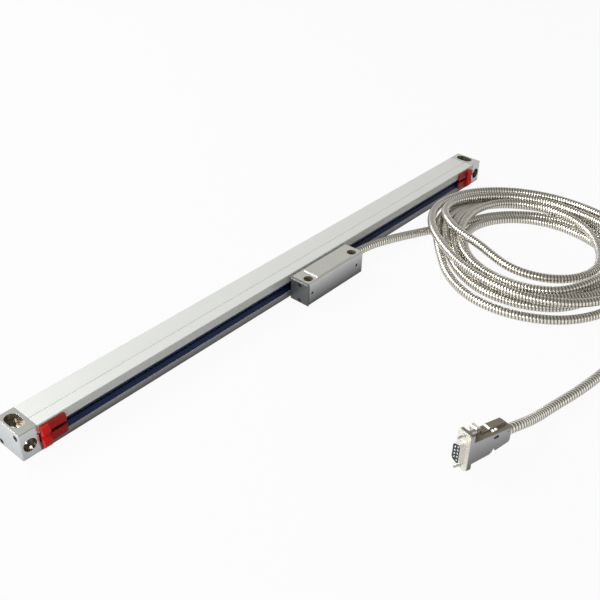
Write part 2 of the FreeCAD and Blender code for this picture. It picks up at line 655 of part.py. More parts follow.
def cover_gasket():
    x0 = HEAD_LEFT + COVER_THICK
    sheet = box(x0, x0 + GASKET, HEAD_FRONT + GASKET_INSET, HEAD_REAR - GASKET_INSET, HEAD_LOW + GASKET_INSET,
                HEAD_TOP - GASKET_INSET)
    for y, z in cover_screw_places():
        sheet = sheet.cut(rod((x0, y, z), (1, 0, 0), SMALL_SCREW_R + FIT, GASKET))
    return sheet


def cover_screws():
    screws = []
    for y, z in cover_screw_places():
        head = rod((HEAD_LEFT + FIT, y, z), (1, 0, 0), SMALL_SCREW_HEAD_R, SMALL_SCREW_HEAD)
        shank = rod((HEAD_LEFT + FIT, y, z), (1, 0, 0), SMALL_SCREW_R,
                    COVER_THICK + GASKET + COVER_SCREW_REACH - FIT)
        slot = box(HEAD_LEFT, HEAD_LEFT + SMALL_SCREW_HEAD / 2, y - LOOSE, y + LOOSE,
                   z - SMALL_SCREW_HEAD_R, z + SMALL_SCREW_HEAD_R)
        screws.append(head.fuse(shank).cut(slot))
    return Part.makeCompound(screws)


def head_rear_plate():
    """Steel plate that closes the head's cavity, slotted for the blade."""
    plate = box(HEAD_X - REAR_PLATE_HALF, HEAD_X + REAR_PLATE_HALF, RECESS_Y, HEAD_REAR,
                PLATE_LOW, PLATE_HIGH)
    half = BLADE_THICK / 2 + FIT
    plate = plate.cut(box(HEAD_X - BLADE_ROOT - FIT, HEAD_X + BLADE_ROOT + FIT, RECESS_Y, HEAD_REAR,
                          SLOT_Z - half, SLOT_Z + half))
    for x, z in rear_screw_places():
        plate = plate.cut(rod((x, RECESS_Y, z), (0, 1, 0), SMALL_SCREW_R + FIT, REAR_PLATE_THICK))
        plate = plate.cut(rod((x, HEAD_REAR - SMALL_SCREW_HEAD - FIT, z), (0, 1, 0), SMALL_SCREW_HEAD_R + FIT,
                              SMALL_SCREW_HEAD + FIT))
    return plate


def rear_plate_screws():
    screws = []
    for x, z in rear_screw_places():
        tip = RECESS_Y - REAR_SCREW_REACH
        shank = rod((x, tip, z), (0, 1, 0), SMALL_SCREW_R, HEAD_REAR - FIT - tip)
        under = (x, HEAD_REAR - FIT - SMALL_SCREW_HEAD, z)
        head = rod(under, (0, 1, 0), SMALL_SCREW_HEAD_R, SMALL_SCREW_HEAD)
        screws.append(shank.fuse(head))
    return Part.makeCompound(screws)


def sealing_blade():
    """Thin steel blade: a clamped root, pointed wings where the lips close on it, and a stem behind them."""
    root_y = RECESS_Y - CLAMP_THICK
    wing_y = depth((LIP_FRONT + LIP_TIP_BACK) / 2)
    stem_y = depth(BLADE_STEM_DEPTH)
    right = [(BLADE_ROOT, root_y), (BLADE_ROOT, FACE_Y - LIP_FRONT), (BLADE_WING, wing_y),
             (BLADE_ROOT, depth(LIP_TIP_BACK + FIT)), (BLADE_STEM, stem_y),
             (BLADE_STEM, depth(BLADE_TIP_DEPTH))]
    outline = [(HEAD_X + x, y) for x, y in right] + [(HEAD_X - x, y) for x, y in reversed(right)]
    return along_z(outline, SLOT_Z - BLADE_THICK / 2, SLOT_Z + BLADE_THICK / 2)


def blade_clamp():
    """Clamp on the inner side of the rear plate that holds the blade's root."""
    back = RECESS_Y
    block = box(HEAD_X - CLAMP_HALF, HEAD_X + CLAMP_HALF, back - CLAMP_THICK, back, SLOT_Z - CLAMP_HEIGHT / 2,
                SLOT_Z + CLAMP_HEIGHT / 2)
    half = BLADE_THICK / 2 + FIT
    return block.cut(box(HEAD_X - BLADE_ROOT - FIT, HEAD_X + BLADE_ROOT + FIT, back - CLAMP_THICK, back,
                         SLOT_Z - half, SLOT_Z + half))


def coupling_rod():
    """Spring wire from the blade's stem to a ball held in the carriage's lug."""
    start = HEAD_X + BLADE_STEM
    wire = rod((start, depth(ROD_DEPTH), SLOT_Z), (1, 0, 0), ROD_R, ROD_REACH)
    return wire.fuse(Part.makeSphere(BALL_R, V(start + ROD_REACH, depth(ROD_DEPTH), SLOT_Z))).removeSplitter()


def carriage_lug():
    """Forked lug that the ball drives: open above, so that the ball drops in."""
    x = HEAD_X + BLADE_STEM + ROD_REACH
    y = depth(ROD_DEPTH)
    lug = box(x - LUG_LENGTH / 2, x + LUG_LENGTH / 2, depth(LUG_FRONT), depth(CARRIAGE_FRONT + FIT),
              SLOT_Z - LUG_HEIGHT / 2, SLOT_Z + LUG_HEIGHT / 2)
    reach = BALL_R + FIT
    lug = lug.cut(box(x - reach, x + reach, y - reach, y + reach, SLOT_Z - reach, SLOT_Z + LUG_HEIGHT / 2))
    gap = ROD_R + FIT
    return lug.cut(box(x - LUG_LENGTH / 2, x, y - gap, y + gap, SLOT_Z - gap, SLOT_Z + LUG_HEIGHT / 2))


def carriage_blank():
    """Front leg, bridge under the glass, and rear leg."""
    x0, x1 = HEAD_X - CARRIAGE_HALF, HEAD_X + CARRIAGE_HALF
    front, leg_back = depth(CARRIAGE_FRONT), depth(LEG_BACK)
    rear_front, rear_back = depth(REAR_LEG_FRONT), depth(REAR_LEG_BACK)
    outline = [(front, CARRIAGE_LOW), (rear_back, CARRIAGE_LOW), (rear_back, REAR_LEG_HIGH),
               (rear_front, REAR_LEG_HIGH), (rear_front, BRIDGE_TOP), (leg_back, BRIDGE_TOP),
               (leg_back, FRONT_LEG_HIGH), (front, FRONT_LEG_HIGH)]
    return along_x(outline, x0, x1).fuse(carriage_lug())


def face_pin_span(z):
    """Lower and upper end of a face roller's pin."""
    half = ROLLER_WIDTH / 2 + LOOSE
    return z - half - PIN_SEAT, min(z + half + PIN_SEAT, FRONT_LEG_HIGH)


def edge_pin_span():
    half = ROLLER_WIDTH / 2 + LOOSE
    return depth(EDGE_ROLLER_DEPTH) - half - PIN_SEAT, depth(EDGE_ROLLER_DEPTH) + half + PIN_SEAT


def carriage():
    """Scanning carriage: optical bores, window, roller pockets and pin holes."""
    body = carriage_blank()
    front = depth(CARRIAGE_FRONT)
    body = body.cut(rod((HEAD_X, front, OPTIC_Z), (0, 1, 0), LENS_R + FIT, FRONT_LEG_THICK))
    body = body.cut(box(HEAD_X - WINDOW_HALF, HEAD_X + WINDOW_HALF,
                        depth(REAR_LEG_FRONT), depth(REAR_LEG_BACK),
                        OPTIC_Z - WINDOW_HEIGHT / 2, OPTIC_Z + WINDOW_HEIGHT / 2))
    half = ROLLER_WIDTH / 2 + LOOSE
    for name, x, z in FACE_ROLLERS:
        pocket = HEAD_X + x
        body = body.cut(box(pocket - ROLLER_POCKET, pocket + ROLLER_POCKET,
                            depth(FACE_ROLLER_DEPTH) - ROLLER_POCKET, depth(LEG_BACK), z - half, z + half))
        low, high = face_pin_span(z)
        body = body.cut(rod((pocket, depth(FACE_ROLLER_DEPTH), low), (0, 0, 1), PIN_R, high - low))
    for name, x in EDGE_ROLLERS:
        pocket = HEAD_X + x
        middle = depth(EDGE_ROLLER_DEPTH)
        body = body.cut(box(pocket - ROLLER_POCKET, pocket + ROLLER_POCKET, middle - half, middle + half,
                            CARRIAGE_LOW, BRIDGE_TOP))
        low, high = edge_pin_span()
        body = body.cut(rod((pocket, low, EDGE_ROLLER_Z), (0, 1, 0), PIN_R, high - low))
    return body.removeSplitter()


def roller_pins():
    pins = []
    for name, x, z in FACE_ROLLERS:
        low, high = face_pin_span(z)
        pins.append(rod((HEAD_X + x, depth(FACE_ROLLER_DEPTH), low), (0, 0, 1), PIN_R, high - low))
    for name, x in EDGE_ROLLERS:
        low, high = edge_pin_span()
        pins.append(rod((HEAD_X + x, low, EDGE_ROLLER_Z), (0, 1, 0), PIN_R, high - low))
    return Part.makeCompound(pins)


def roller(centre, direction):
    """Miniature ball bearing: outer ring, inner ring proud of a shallow annular recess on each side."""
    x, y, z = centre
    dx, dy, dz = direction
    half = ROLLER_WIDTH / 2
    start = (x - dx * half, y - dy * half, z - dz * half)
    ring = rod(start, direction, ROLLER_R, ROLLER_WIDTH)
    recess_in = ROLLER_BORE_R + (ROLLER_R - ROLLER_BORE_R) * RECESS_IN
    recess_out = ROLLER_BORE_R + (ROLLER_R - ROLLER_BORE_R) * RECESS_OUT
    for face in (start, (x + dx * (half - LOOSE), y + dy * (half - LOOSE), z + dz * (half - LOOSE))):
        ring = ring.cut(rod(face, direction, recess_out, LOOSE).cut(rod(face, direction, recess_in, LOOSE)))
    return ring.cut(rod(start, direction, ROLLER_BORE_R, ROLLER_WIDTH))


def light_board():
    """Board with the light source in front of the lens."""
    back = depth(CARRIAGE_FRONT)
    board = box(HEAD_X - LED_BOARD_HALF, HEAD_X + LED_BOARD_HALF, back - LED_BOARD_THICK, back,
                OPTIC_Z - LED_BOARD_HEIGHT / 2, OPTIC_Z + LED_BOARD_HEIGHT / 2)
    return board.fuse(rod((HEAD_X, back - FIT, OPTIC_Z), (0, 1, 0), LENS_R / 2, LENS_R)).removeSplitter()


def collimating_lens():
    """Plano-convex lens in the front leg's bore."""
    flat = depth(LEG_BACK - RUNNING)
    disc = rod((HEAD_X, flat - LENS_THICK, OPTIC_Z), (0, 1, 0), LENS_R, LENS_THICK)
    crown_r = LENS_R * 1.6
    return disc.common(Part.makeSphere(crown_r, V(HEAD_X, flat - LENS_THICK + crown_r, OPTIC_Z)))


def index_grating():
    back = depth(REAR_LEG_FRONT)
    return box(HEAD_X - GRATING_HALF, HEAD_X + GRATING_HALF, back - GRATING_THICK, back,
               OPTIC_Z - GRATING_HEIGHT / 2, OPTIC_Z + GRATING_HEIGHT / 2)


def detector_board():
    front = depth(REAR_LEG_BACK)
    return box(HEAD_X - DETECTOR_HALF, HEAD_X + DETECTOR_HALF, front, front + DETECTOR_THICK,
               OPTIC_Z - DETECTOR_HEIGHT / 2, OPTIC_Z + DETECTOR_HEIGHT / 2)


def head_board():
    """Circuit board on its posts in the head's cavity, with two chip packages."""
    y0 = HEAD_FRONT + CAVITY_WALL + FIT
    low = CAVITY_LOW + BOARD_POST
    board = box(HEAD_X - BOARD_HALF, HEAD_X + BOARD_HALF, y0, y0 + BOARD_WIDTH + BOARD_POST_R, low,
                low + BOARD_THICK)
    chip_half = BOARD_WIDTH / 3
    for side in (-1, 1):
        x = HEAD_X + side * BOARD_HALF / 2
        board = board.fuse(box(x - chip_half, x + chip_half, y0 + RUNNING, y0 + RUNNING + 2 * chip_half,
                               low + BOARD_THICK - FIT, low + 2 * BOARD_THICK))
    return board.removeSplitter()


def cable_ferrule():
    """Turned sleeve pressed into the head's right end, with a raised collar at its mouth."""
    start = HEAD_RIGHT - FERRULE_INSIDE
    length = FERRULE_INSIDE + FERRULE_PROUD
    sleeve = rod((start, CABLE_EXIT_Y, CABLE_EXIT_Z), (1, 0, 0), FERRULE_R, length)
    return sleeve.cut(rod((start, CABLE_EXIT_Y, CABLE_EXIT_Z), (1, 0, 0), WIRE_BORE_R, length))


def place_plug(shape):
    """Move a connector piece from its own axes to where it lies."""
    placed = shape.copy()
    turn = FreeCAD.Rotation(*PLUG_TURN)
    placed.Placement = FreeCAD.Placement(V(*PLUG_PLACE), turn)
    return placed


def d_outline(length, width):
    """D shape in thickness and height: the long side towards small thickness."""
    middle_b, middle_h = FLANGE_WIDTH / 2, FLANGE_LENGTH / 2
    half, slope = length / 2, width * tan(radians(D_SLOPE))
    b0, b1 = middle_b - width / 2, middle_b + width / 2
    cut = width * D_CORNER
    return [(b0, middle_h - half + cut), (b0 + cut, middle_h - half), (b1 - cut, middle_h - half + slope),
            (b1, middle_h - half + slope + cut), (b1, middle_h + half - slope - cut),
            (b1 - cut, middle_h + half - slope), (b0 + cut, middle_h + half), (b0, middle_h + half - cut)]


def jack_heights():
    middle = FLANGE_LENGTH / 2
    return [middle - JACK_SPACING / 2, middle + JACK_SPACING / 2]


def connector_shell():
    """Plated steel shell: the D-shaped collar in front and its flange."""
    flange = along_x(cut_corners(0, FLANGE_WIDTH, 0, FLANGE_LENGTH, CORNER_LEFT), 0, FLANGE_THICK)
    shell = flange.fuse(along_x(d_outline(SHELL_LENGTH, SHELL_WIDTH), -SHELL_PROUD, FLANGE_THICK))
    inner = d_outline(SHELL_LENGTH - 2 * SHELL_WALL, SHELL_WIDTH - 2 * SHELL_WALL)
    shell = shell.cut(along_x(inner, -SHELL_PROUD, FLANGE_THICK))
    for h in jack_heights():
        shell = shell.cut(rod((0, FLANGE_WIDTH / 2, h), (1, 0, 0), JACK_R + FIT, FLANGE_THICK))
    return place_plug(shell.removeSplitter())


def contact_places():
    """Five contacts in the near row and four in the far row."""
    for row, count in ((-1, 5), (1, 4)):
        for index in range(count):
            step = index - (count - 1) / 2
            yield FLANGE_WIDTH / 2 + row * ROW_SPACING / 2, FLANGE_LENGTH / 2 + step * CONTACT_PITCH


def connector_insulator():
    """Moulded block inside the shell, bored for the contacts."""
    outline = d_outline(SHELL_LENGTH - 2 * SHELL_WALL - 2 * FIT, SHELL_WIDTH - 2 * SHELL_WALL - 2 * FIT)
    block = along_x(outline, -SHELL_PROUD + LOOSE, INSULATOR_BACK)
    for b, h in contact_places():
        block = block.cut(rod((-SHELL_PROUD + LOOSE, b, h), (1, 0, 0), CONTACT_R,
                              SHELL_PROUD + INSULATOR_BACK))
    return place_plug(block)


def connector_contacts():
    """Nine socket contacts, each a tube open at the front."""
    tubes = []
    for b, h in contact_places():
        tube = rod((-SHELL_PROUD + 2 * LOOSE, b, h), (1, 0, 0), CONTACT_R - FIT / 2, CONTACT_LENGTH)
        tubes.append(tube.cut(rod((-SHELL_PROUD + 2 * LOOSE, b, h), (1, 0, 0), CONTACT_BORE_R,
                                  CONTACT_BORE_DEEP)))
    return place_plug(Part.makeCompound(tubes))


def jackscrew(h):
    """Slotted jackscrew: slim tip, shank through the flange and the collar, and a slotted head."""
    b = FLANGE_WIDTH / 2
    tip = rod((-JACK_TIP, b, h), (1, 0, 0), JACK_TIP_R, JACK_TIP)
    shank = rod((0, b, h), (1, 0, 0), JACK_R, COLLAR_BACK + FIT)
    head = rod((COLLAR_BACK + FIT, b, h), (1, 0, 0), JACK_HEAD_R, JACK_HEAD)
    end = COLLAR_BACK + FIT + JACK_HEAD
    slot = box(end - JACK_SLOT_DEEP, end, b - LOOSE, b + LOOSE, h - JACK_HEAD_R, h + JACK_HEAD_R)
    return place_plug(tip.fuse(shank).fuse(head).cut(slot).removeSplitter())


def hood_outline():
    """Side view of the hood: full-height collar, body, finger notch, tooth, and the cable end."""
    upper_ear = [(a, FLANGE_LENGTH - h) for a, h in HOOD_COLLAR_LOW[2::-1]]
    notch = [(HOOD_LENGTH - a, h) for a, h in HOOD_NOTCH]
    return (HOOD_COLLAR_LOW + notch +
            [(HOOD_LENGTH, HOOD_END_LOW), (HOOD_LENGTH, HOOD_HIGH), (COLLAR_BACK, HOOD_HIGH - HOOD_SAG)] +
            upper_ear)


def hood_block():
    """Whole hood before it is hollowed and split, its long edges chamfered."""
    body = prism([(a, 0, h) for a, h in hood_outline()], (0, FLANGE_WIDTH, 0))
    frame = cut_corners(0, FLANGE_WIDTH, HOOD_RIM, FLANGE_LENGTH - HOOD_RIM, HOOD_EDGE)
    body = body.common(along_x(frame, FLANGE_THICK, HOOD_LENGTH))
    middle = FLANGE_WIDTH / 2
    tail = [(middle - HOOD_TAIL / 2, HOOD_LENGTH), (middle + HOOD_TAIL / 2, HOOD_LENGTH),
            (FLANGE_WIDTH, HOOD_LENGTH - HOOD_TAPER), (FLANGE_WIDTH, FLANGE_THICK), (0, FLANGE_THICK),
            (0, HOOD_LENGTH - HOOD_TAPER)]
    return body.common(along_z([(a, b) for b, a in tail], 0, FLANGE_LENGTH))


def hood_hollow():
    """Room inside the hood for the insulator's back and the wires, and the seat of the cable."""
    room_end = HOOD_LENGTH - HOOD_ROOM
    room = box(FLANGE_THICK, room_end, HOOD_WALL, FLANGE_WIDTH - HOOD_WALL,
               HOOD_LOW + HOOD_WALL, HOOD_HIGH - HOOD_SAG - HOOD_WALL)
    socket = along_x(d_outline(SHELL_LENGTH - 2 * SHELL_WALL, SHELL_WIDTH - 2 * SHELL_WALL), FLANGE_THICK,
                     INSULATOR_BACK + LOOSE)
    mouth = rod((room_end - LOOSE, FLANGE_WIDTH / 2, CABLE_SEAT_H), (1, 0, 0), WIRE_BORE_R, HOOD_LENGTH)
    return room.fuse(socket).fuse(mouth)


def hood_half(near):
    """One half of the hood, split along the middle of its thickness."""
    body = hood_block().cut(hood_hollow())
    for h in jack_heights():
        body = body.cut(rod((FLANGE_THICK, FLANGE_WIDTH / 2, h), (1, 0, 0), JACK_R + FIT, COLLAR_BACK))
    for a, h in HOOD_SCREWS:
        body = body.cut(rod((HOOD_LENGTH - a, 0, h), (0, 1, 0), HOOD_SCREW_R + FIT, FLANGE_WIDTH))
    middle = FLANGE_WIDTH / 2
    b0, b1 = (0, middle) if near else (middle, FLANGE_WIDTH)
    return place_plug(body.common(box(0, HOOD_LENGTH, b0, b1, -1.0, FLANGE_LENGTH + 1.0)).removeSplitter())


def hood_screws():
    screws = [rod((HOOD_LENGTH - a, LOOSE, h), (0, 1, 0), HOOD_SCREW_R, FLANGE_WIDTH - 2 * LOOSE)
              for a, h in HOOD_SCREWS]
    return place_plug(Part.makeCompound(screws))


def plug_point(a, b, h):
    """A point of the connector's own axes, where it lies."""
    placement = FreeCAD.Placement(V(*PLUG_PLACE), FreeCAD.Rotation(*PLUG_TURN))
    return placement.multVec(V(a, b, h))


def rounded_path(points):
    """Straight runs joined by tangent arcs, each as large as its two runs allow."""
    corners = [V(*point) for point in points]
    edges = []
    start = corners[0]
    for before, here, after in zip(corners, corners[1:], corners[2:]):
        arrive = (here - before).normalize()
        leave = (after - here).normalize()
        turn = acos(max(-1.0, min(1.0, arrive.dot(leave))))
        back_off = ARC_SHARE * min((here - before).Length, (after - here).Length)
        radius = back_off / tan(turn / 2)
        print("radius", round(radius, 1), "turn", round(degrees(turn), 1))
        entry, leaving = here - arrive * back_off, here + leave * back_off
        inward = (leave - arrive).normalize()
        middle = here + inward * (hypot(radius, back_off) - radius)
        edges.append(Part.LineSegment(start, entry).toShape())
        edges.append(Part.Arc(entry, middle, leaving).toShape())
        start = leaving
    edges.append(Part.LineSegment(start, corners[-1]).toShape())
    return Part.Wire(edges)


def cable_tube(points, name):
    """Plain round tube along a route, with its volume compared with section times length."""
    path = rounded_path(points)
    first = path.Edges[0]
    direction = first.tangentAt(first.FirstParameter)
    circle = Part.Wire(Part.makeCircle(CABLE_DIAMETER / 2, V(*points[0]), direction))
    tube = path.makePipeShell([circle], True, False)
    expected = pi * CABLE_DIAMETER ** 2 / 4 * path.Length
    print(name, "length", round(path.Length, 1), "volume ratio", round(tube.Volume / expected, 4))
    return tube


def coil_solid(grow):
    """Outer shape of the loosely coiled cable, with the open middle of its turns."""
    low = COIL_LOW - grow
    high = COIL_HIGH + grow
    ring = rod((COIL_CENTRE[0], COIL_CENTRE[1], low), (0, 0, 1), COIL_R + grow, high - low)
    hole = rod((COIL_HOLE_CENTRE[0], COIL_HOLE_CENTRE[1], low), (0, 0, 1), COIL_HOLE_R - grow, high - low)
    return ring.cut(hole)


def cable_head_tail():
    exit_point = (HEAD_RIGHT + FERRULE_PROUD, CABLE_EXIT_Y, CABLE_EXIT_Z)
    return cable_tube([exit_point] + HEAD_TAIL, "cable_head_tail").cut(coil_solid(LOOSE))


def cable_plug_tail():
    exit_point = plug_point(HOOD_LENGTH + FIT, FLANGE_WIDTH / 2, CABLE_SEAT_H)
    print("plug exit", [round(value, 2) for value in exit_point])
    return cable_tube([tuple(exit_point)] + PLUG_TAIL, "cable_plug_tail").cut(coil_solid(LOOSE))


def build_scale():
    save("housing_extrusion", housing())
    save("upper_lip_seal", lip(1))
    save("lower_lip_seal", lip(-1))
    save("glass_scale", glass_scale())
    save("glass_cushion", glass_cushion())
    for name, maker in (("end_cap", end_cap), ("end_gasket", end_gasket), ("cap_screws", cap_screws)):
        right = maker()
        save("right_" + name, right)
        save("left_" + name, mirror_x(right))


def build_brackets():
    save("left_transit_bracket", bracket(-HALF + LEFT_BRACKET_FROM_END))
    save("right_transit_bracket", mirror_x(bracket(-HALF + RIGHT_BRACKET_FROM_END)))


def build_head():
    save("head_housing", head_housing())
    save("head_rear_plate", head_rear_plate())
    save("rear_plate_screws", rear_plate_screws())
    save("head_end_cover", head_end_cover())
    save("end_cover_gasket", cover_gasket())
    save("end_cover_screws", cover_screws())
    save("sealing_blade", sealing_blade())
    save("blade_clamp", blade_clamp())
    save("coupling_rod", coupling_rod())
    save("head_circuit_board", head_board())
    save("cable_ferrule", cable_ferrule())


def build_carriage():
    save("scanning_carriage", carriage())
    save("roller_pins", roller_pins())
    for name, x, z in FACE_ROLLERS:
        save(name, roller((HEAD_X + x, depth(FACE_ROLLER_DEPTH), z), (0, 0, 1)))
    for name, x in EDGE_ROLLERS:
        save(name, roller((HEAD_X + x, depth(EDGE_ROLLER_DEPTH), EDGE_ROLLER_Z), (0, 1, 0)))
    save("light_source_board", light_board())
    save("collimating_lens", collimating_lens())
    save("index_grating", index_grating())
    save("detector_board", detector_board())


def build_cable():
    save("cable_head_tail", cable_head_tail())
    save("cable_coil", coil_solid(0.0))
    save("cable_plug_tail", cable_plug_tail())
    save("connector_shell", connector_shell())
    save("connector_insulator", connector_insulator())
    save("connector_contacts", connector_contacts())
    save("near_hood_half", hood_half(True))
    save("far_hood_half", hood_half(False))
    save("hood_screws", hood_screws())
    for name, h in zip(("lower_jackscrew", "upper_jackscrew"), jack_heights()):
        save(name, jackscrew(h))
        print(name, "axis through", [round(value, 2) for value in plug_point(0, FLANGE_WIDTH / 2, h)])


os.makedirs("parts", exist_ok=True)
build_scale()
build_brackets()
build_head()
build_carriage()
build_cable()
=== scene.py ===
# %% [markdown]
# An enclosed linear encoder, dressed for its portrait
# The solids come from a CAD model and stay exactly where they are. This lesson gives them a camera,
# light, finishes and softened edges. It also adds what the CAD model only blocks in or leaves out:
# the armoured cable with its ridges and its loose coil, and five small pieces of the connector.

# %% The frame that everything hangs on
import json
import math
import bpy
import numpy as np
from mathutils import Euler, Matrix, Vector


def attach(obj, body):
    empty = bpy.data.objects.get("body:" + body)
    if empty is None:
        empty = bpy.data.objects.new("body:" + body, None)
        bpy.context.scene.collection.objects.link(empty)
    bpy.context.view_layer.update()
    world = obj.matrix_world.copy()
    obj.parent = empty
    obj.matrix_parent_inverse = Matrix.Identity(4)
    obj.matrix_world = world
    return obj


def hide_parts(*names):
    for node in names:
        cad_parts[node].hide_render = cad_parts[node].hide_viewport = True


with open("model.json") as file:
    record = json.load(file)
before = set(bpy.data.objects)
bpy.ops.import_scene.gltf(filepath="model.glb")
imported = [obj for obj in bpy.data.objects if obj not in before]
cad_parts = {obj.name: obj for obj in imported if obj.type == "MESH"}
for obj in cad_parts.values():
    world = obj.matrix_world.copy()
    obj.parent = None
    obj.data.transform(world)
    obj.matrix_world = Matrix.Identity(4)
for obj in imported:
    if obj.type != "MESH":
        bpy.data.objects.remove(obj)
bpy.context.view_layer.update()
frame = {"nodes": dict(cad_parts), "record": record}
MM = 0.001
nodes = frame["nodes"]
scene = bpy.context.scene

# %% [markdown]
# The camera
# The scale runs from the lower left to the upper right because the camera stands off its left end,
# above the bench, and looks down at about 34.5 degrees. Standing this close makes the near end cap
# look large. The place, the three angles and the lens came out of a camera solve, made from straight
# edges in the photograph and from known sizes, and they are written here rounded.

# %% The camera
CAMERA_PLACE = (-506.18, -426.64, 439.54)
CAMERA_TURN = (55.497, -1.2, -48.933)
CAMERA_LENS = 51.877
FILM_WIDTH = 36.0
NEAREST = 10 * MM
FARTHEST = 20.0

camera = bpy.data.objects.new("camera", bpy.data.cameras.new("camera"))
scene.collection.objects.link(camera)
camera.location = Vector(CAMERA_PLACE) * MM
camera.rotation_euler = [math.radians(angle) for angle in CAMERA_TURN]
camera.data.sensor_width = FILM_WIDTH
camera.data.lens = CAMERA_LENS
camera.data.clip_start = NEAREST
camera.data.clip_end = FARTHEST
scene.camera = camera
scene.view_settings.view_transform = "Standard"
print("camera at", [round(v, 3) for v in camera.location])

# %% [markdown]
# Writing shader sums as Python
# A material in Blender is a web of nodes, and its sums are slow to read when every step is a box. The
# class below wraps one socket and answers to the signs +, -, *, > and <, so 1 - mask adds the right
# Math node by itself. Everything that isn't a sum, such as a noise or a bump, comes from the one
# method called node.


# %% Sockets that can be added and multiplied
class Wire:
    """One output socket, used in sums as if it were a number."""

    def __init__(self, finish, socket):
        self.finish = finish
        self.socket = socket

    def sum_node(self, operation, first, second):
        return self.finish.node("ShaderNodeMath", {"operation": operation}, {0: first, 1: second})

    def __add__(self, other):
        return self.sum_node("ADD", self, other)

    def __radd__(self, other):
        return self.sum_node("ADD", other, self)

    def __rsub__(self, other):
        return self.sum_node("SUBTRACT", other, self)

    def __mul__(self, other):
        return self.sum_node("MULTIPLY", self, other)

    def __gt__(self, other):
        return self.sum_node("GREATER_THAN", self, other)

    def __lt__(self, other):
        return self.sum_node("LESS_THAN", self, other)

    def either(self, other):
        return self.sum_node("MAXIMUM", self, other)

    def wave(self):
        return self.sum_node("SINE", self, 0)

    def size(self):
        return self.sum_node("ABSOLUTE", self, 0)


class Finish:
    """A tree of nodes, with one method that adds any node to it."""

    def __init__(self, tree):
        self.tree = tree

    def node(self, kind, settings=None, inputs=None, output=0):
        made = self.tree.nodes.new(kind)
        for name, value in (settings or {}).items():
            if name == "stops":
                self.set_stops(made.color_ramp, value)
            else:
                setattr(made, name, value)
        for name, value in (inputs or {}).items():
            self.feed(made.inputs[name], value)
        return Wire(self, made.outputs[output])

    def feed(self, socket, value):
        if isinstance(value, Wire):
            self.tree.links.new(value.socket, socket)
        else:
            socket.default_value = value

    def set_stops(self, ramp, stops):
        while len(ramp.elements) < len(stops):
            ramp.elements.new(1.0)
        for element, (place, colour) in zip(ramp.elements, stops):
            element.position = place
            element.color = colour


def mixed(factor, first, second):
    """A colour between two others: sums would turn it grey."""
    inputs = {0: factor, 6: first, 7: second}
    return factor.finish.node("ShaderNodeMix", {"data_type": "RGBA"}, inputs, 2)


# %% [markdown]
# The bench and the light
# The photograph looks lit as in a white tent: a broad soft light over the far side, pale all round,
# and a white ground. The ground here is a plain pale floor. The camera sees it almost white and shiny
# metal sees it dimmer, while the light that falls on it stays plain, so that it keeps a faint shadow.
# The sky is much the same trick in the world's own nodes.

# %% The bench and the sky
FLOOR_HALF = 6.0
FLOOR_CORNERS = ((-1, -1), (1, -1), (1, 1), (-1, 1))
FLOOR_DROP = 0.15 * MM
FLOOR_COLOUR = (0.5, 0.5, 0.5, 1)
FLOOR_GLOW = 0.94
FLOOR_GLOW_IN_METAL = 0.6
SKY_LEVEL = 0.32
# How bright the sky looks to the camera and in metal: white near the horizon, dim overhead.
SKY_STOPS = ((0.30, (1, 1, 1, 1)), (0.50, (0.36, 0.355, 0.33, 1)), (1.0, (0.20, 0.20, 0.195, 1)))
WHITE = (1, 1, 1, 1)


def seen_directly(finish, in_metal=1.0):
    """1 for rays from the camera, the given share for rays from metal and through glass, else 0."""
    camera_ray, glossy_ray, clear_ray = [
        finish.node("ShaderNodeLightPath", output=name)
        for name in ("Is Camera Ray", "Is Glossy Ray", "Is Transmission Ray")
    ]
    return camera_ray.either(glossy_ray.either(clear_ray) * in_metal)


def floor_material():
    material = bpy.data.materials.new("pale_floor")
    material.use_nodes = True
    material.node_tree.nodes.clear()
    finish = Finish(material.node_tree)
    matt = finish.node("ShaderNodeBsdfDiffuse", inputs={"Color": FLOOR_COLOUR})
    glow = finish.node("ShaderNodeEmission", inputs={"Color": WHITE, "Strength": 1.0})
    factor = seen_directly(finish, FLOOR_GLOW_IN_METAL / FLOOR_GLOW) * FLOOR_GLOW
    both = finish.node("ShaderNodeMixShader", inputs={0: factor, 1: matt, 2: glow})
    end = material.node_tree.nodes.new("ShaderNodeOutputMaterial")
    finish.feed(end.inputs["Surface"], both)
    return material


def sheet_mesh(name, corners):
    mesh = bpy.data.meshes.new(name)
    mesh.from_pydata(corners, [], [tuple(range(len(corners)))])
    made = bpy.data.objects.new(name, mesh)
    scene.collection.objects.link(made)
    return made


floor_corners = [(x * FLOOR_HALF, y * FLOOR_HALF, -FLOOR_DROP) for x, y in FLOOR_CORNERS]
floor = sheet_mesh("floor", floor_corners)
floor.data.materials.append(floor_material())

world = bpy.data.worlds.new("white_tent")
world.use_nodes = True
scene.world = world
sky = Finish(world.node_tree)
backdrop = world.node_tree.nodes["Background"]
looked_along = sky.node("ShaderNodeTexCoord", output="Generated")
rising = sky.node("ShaderNodeSeparateXYZ", inputs={0: looked_along}, output="Z")
looked_at = sky.node("ShaderNodeValToRGB", {"stops": SKY_STOPS}, {0: rising})
even_sky = (SKY_LEVEL, SKY_LEVEL, SKY_LEVEL, 1)
sky.feed(backdrop.inputs["Color"], mixed(seen_directly(sky), even_sky, looked_at))
print("floor half width:", FLOOR_HALF, "m, sky level:", SKY_LEVEL)

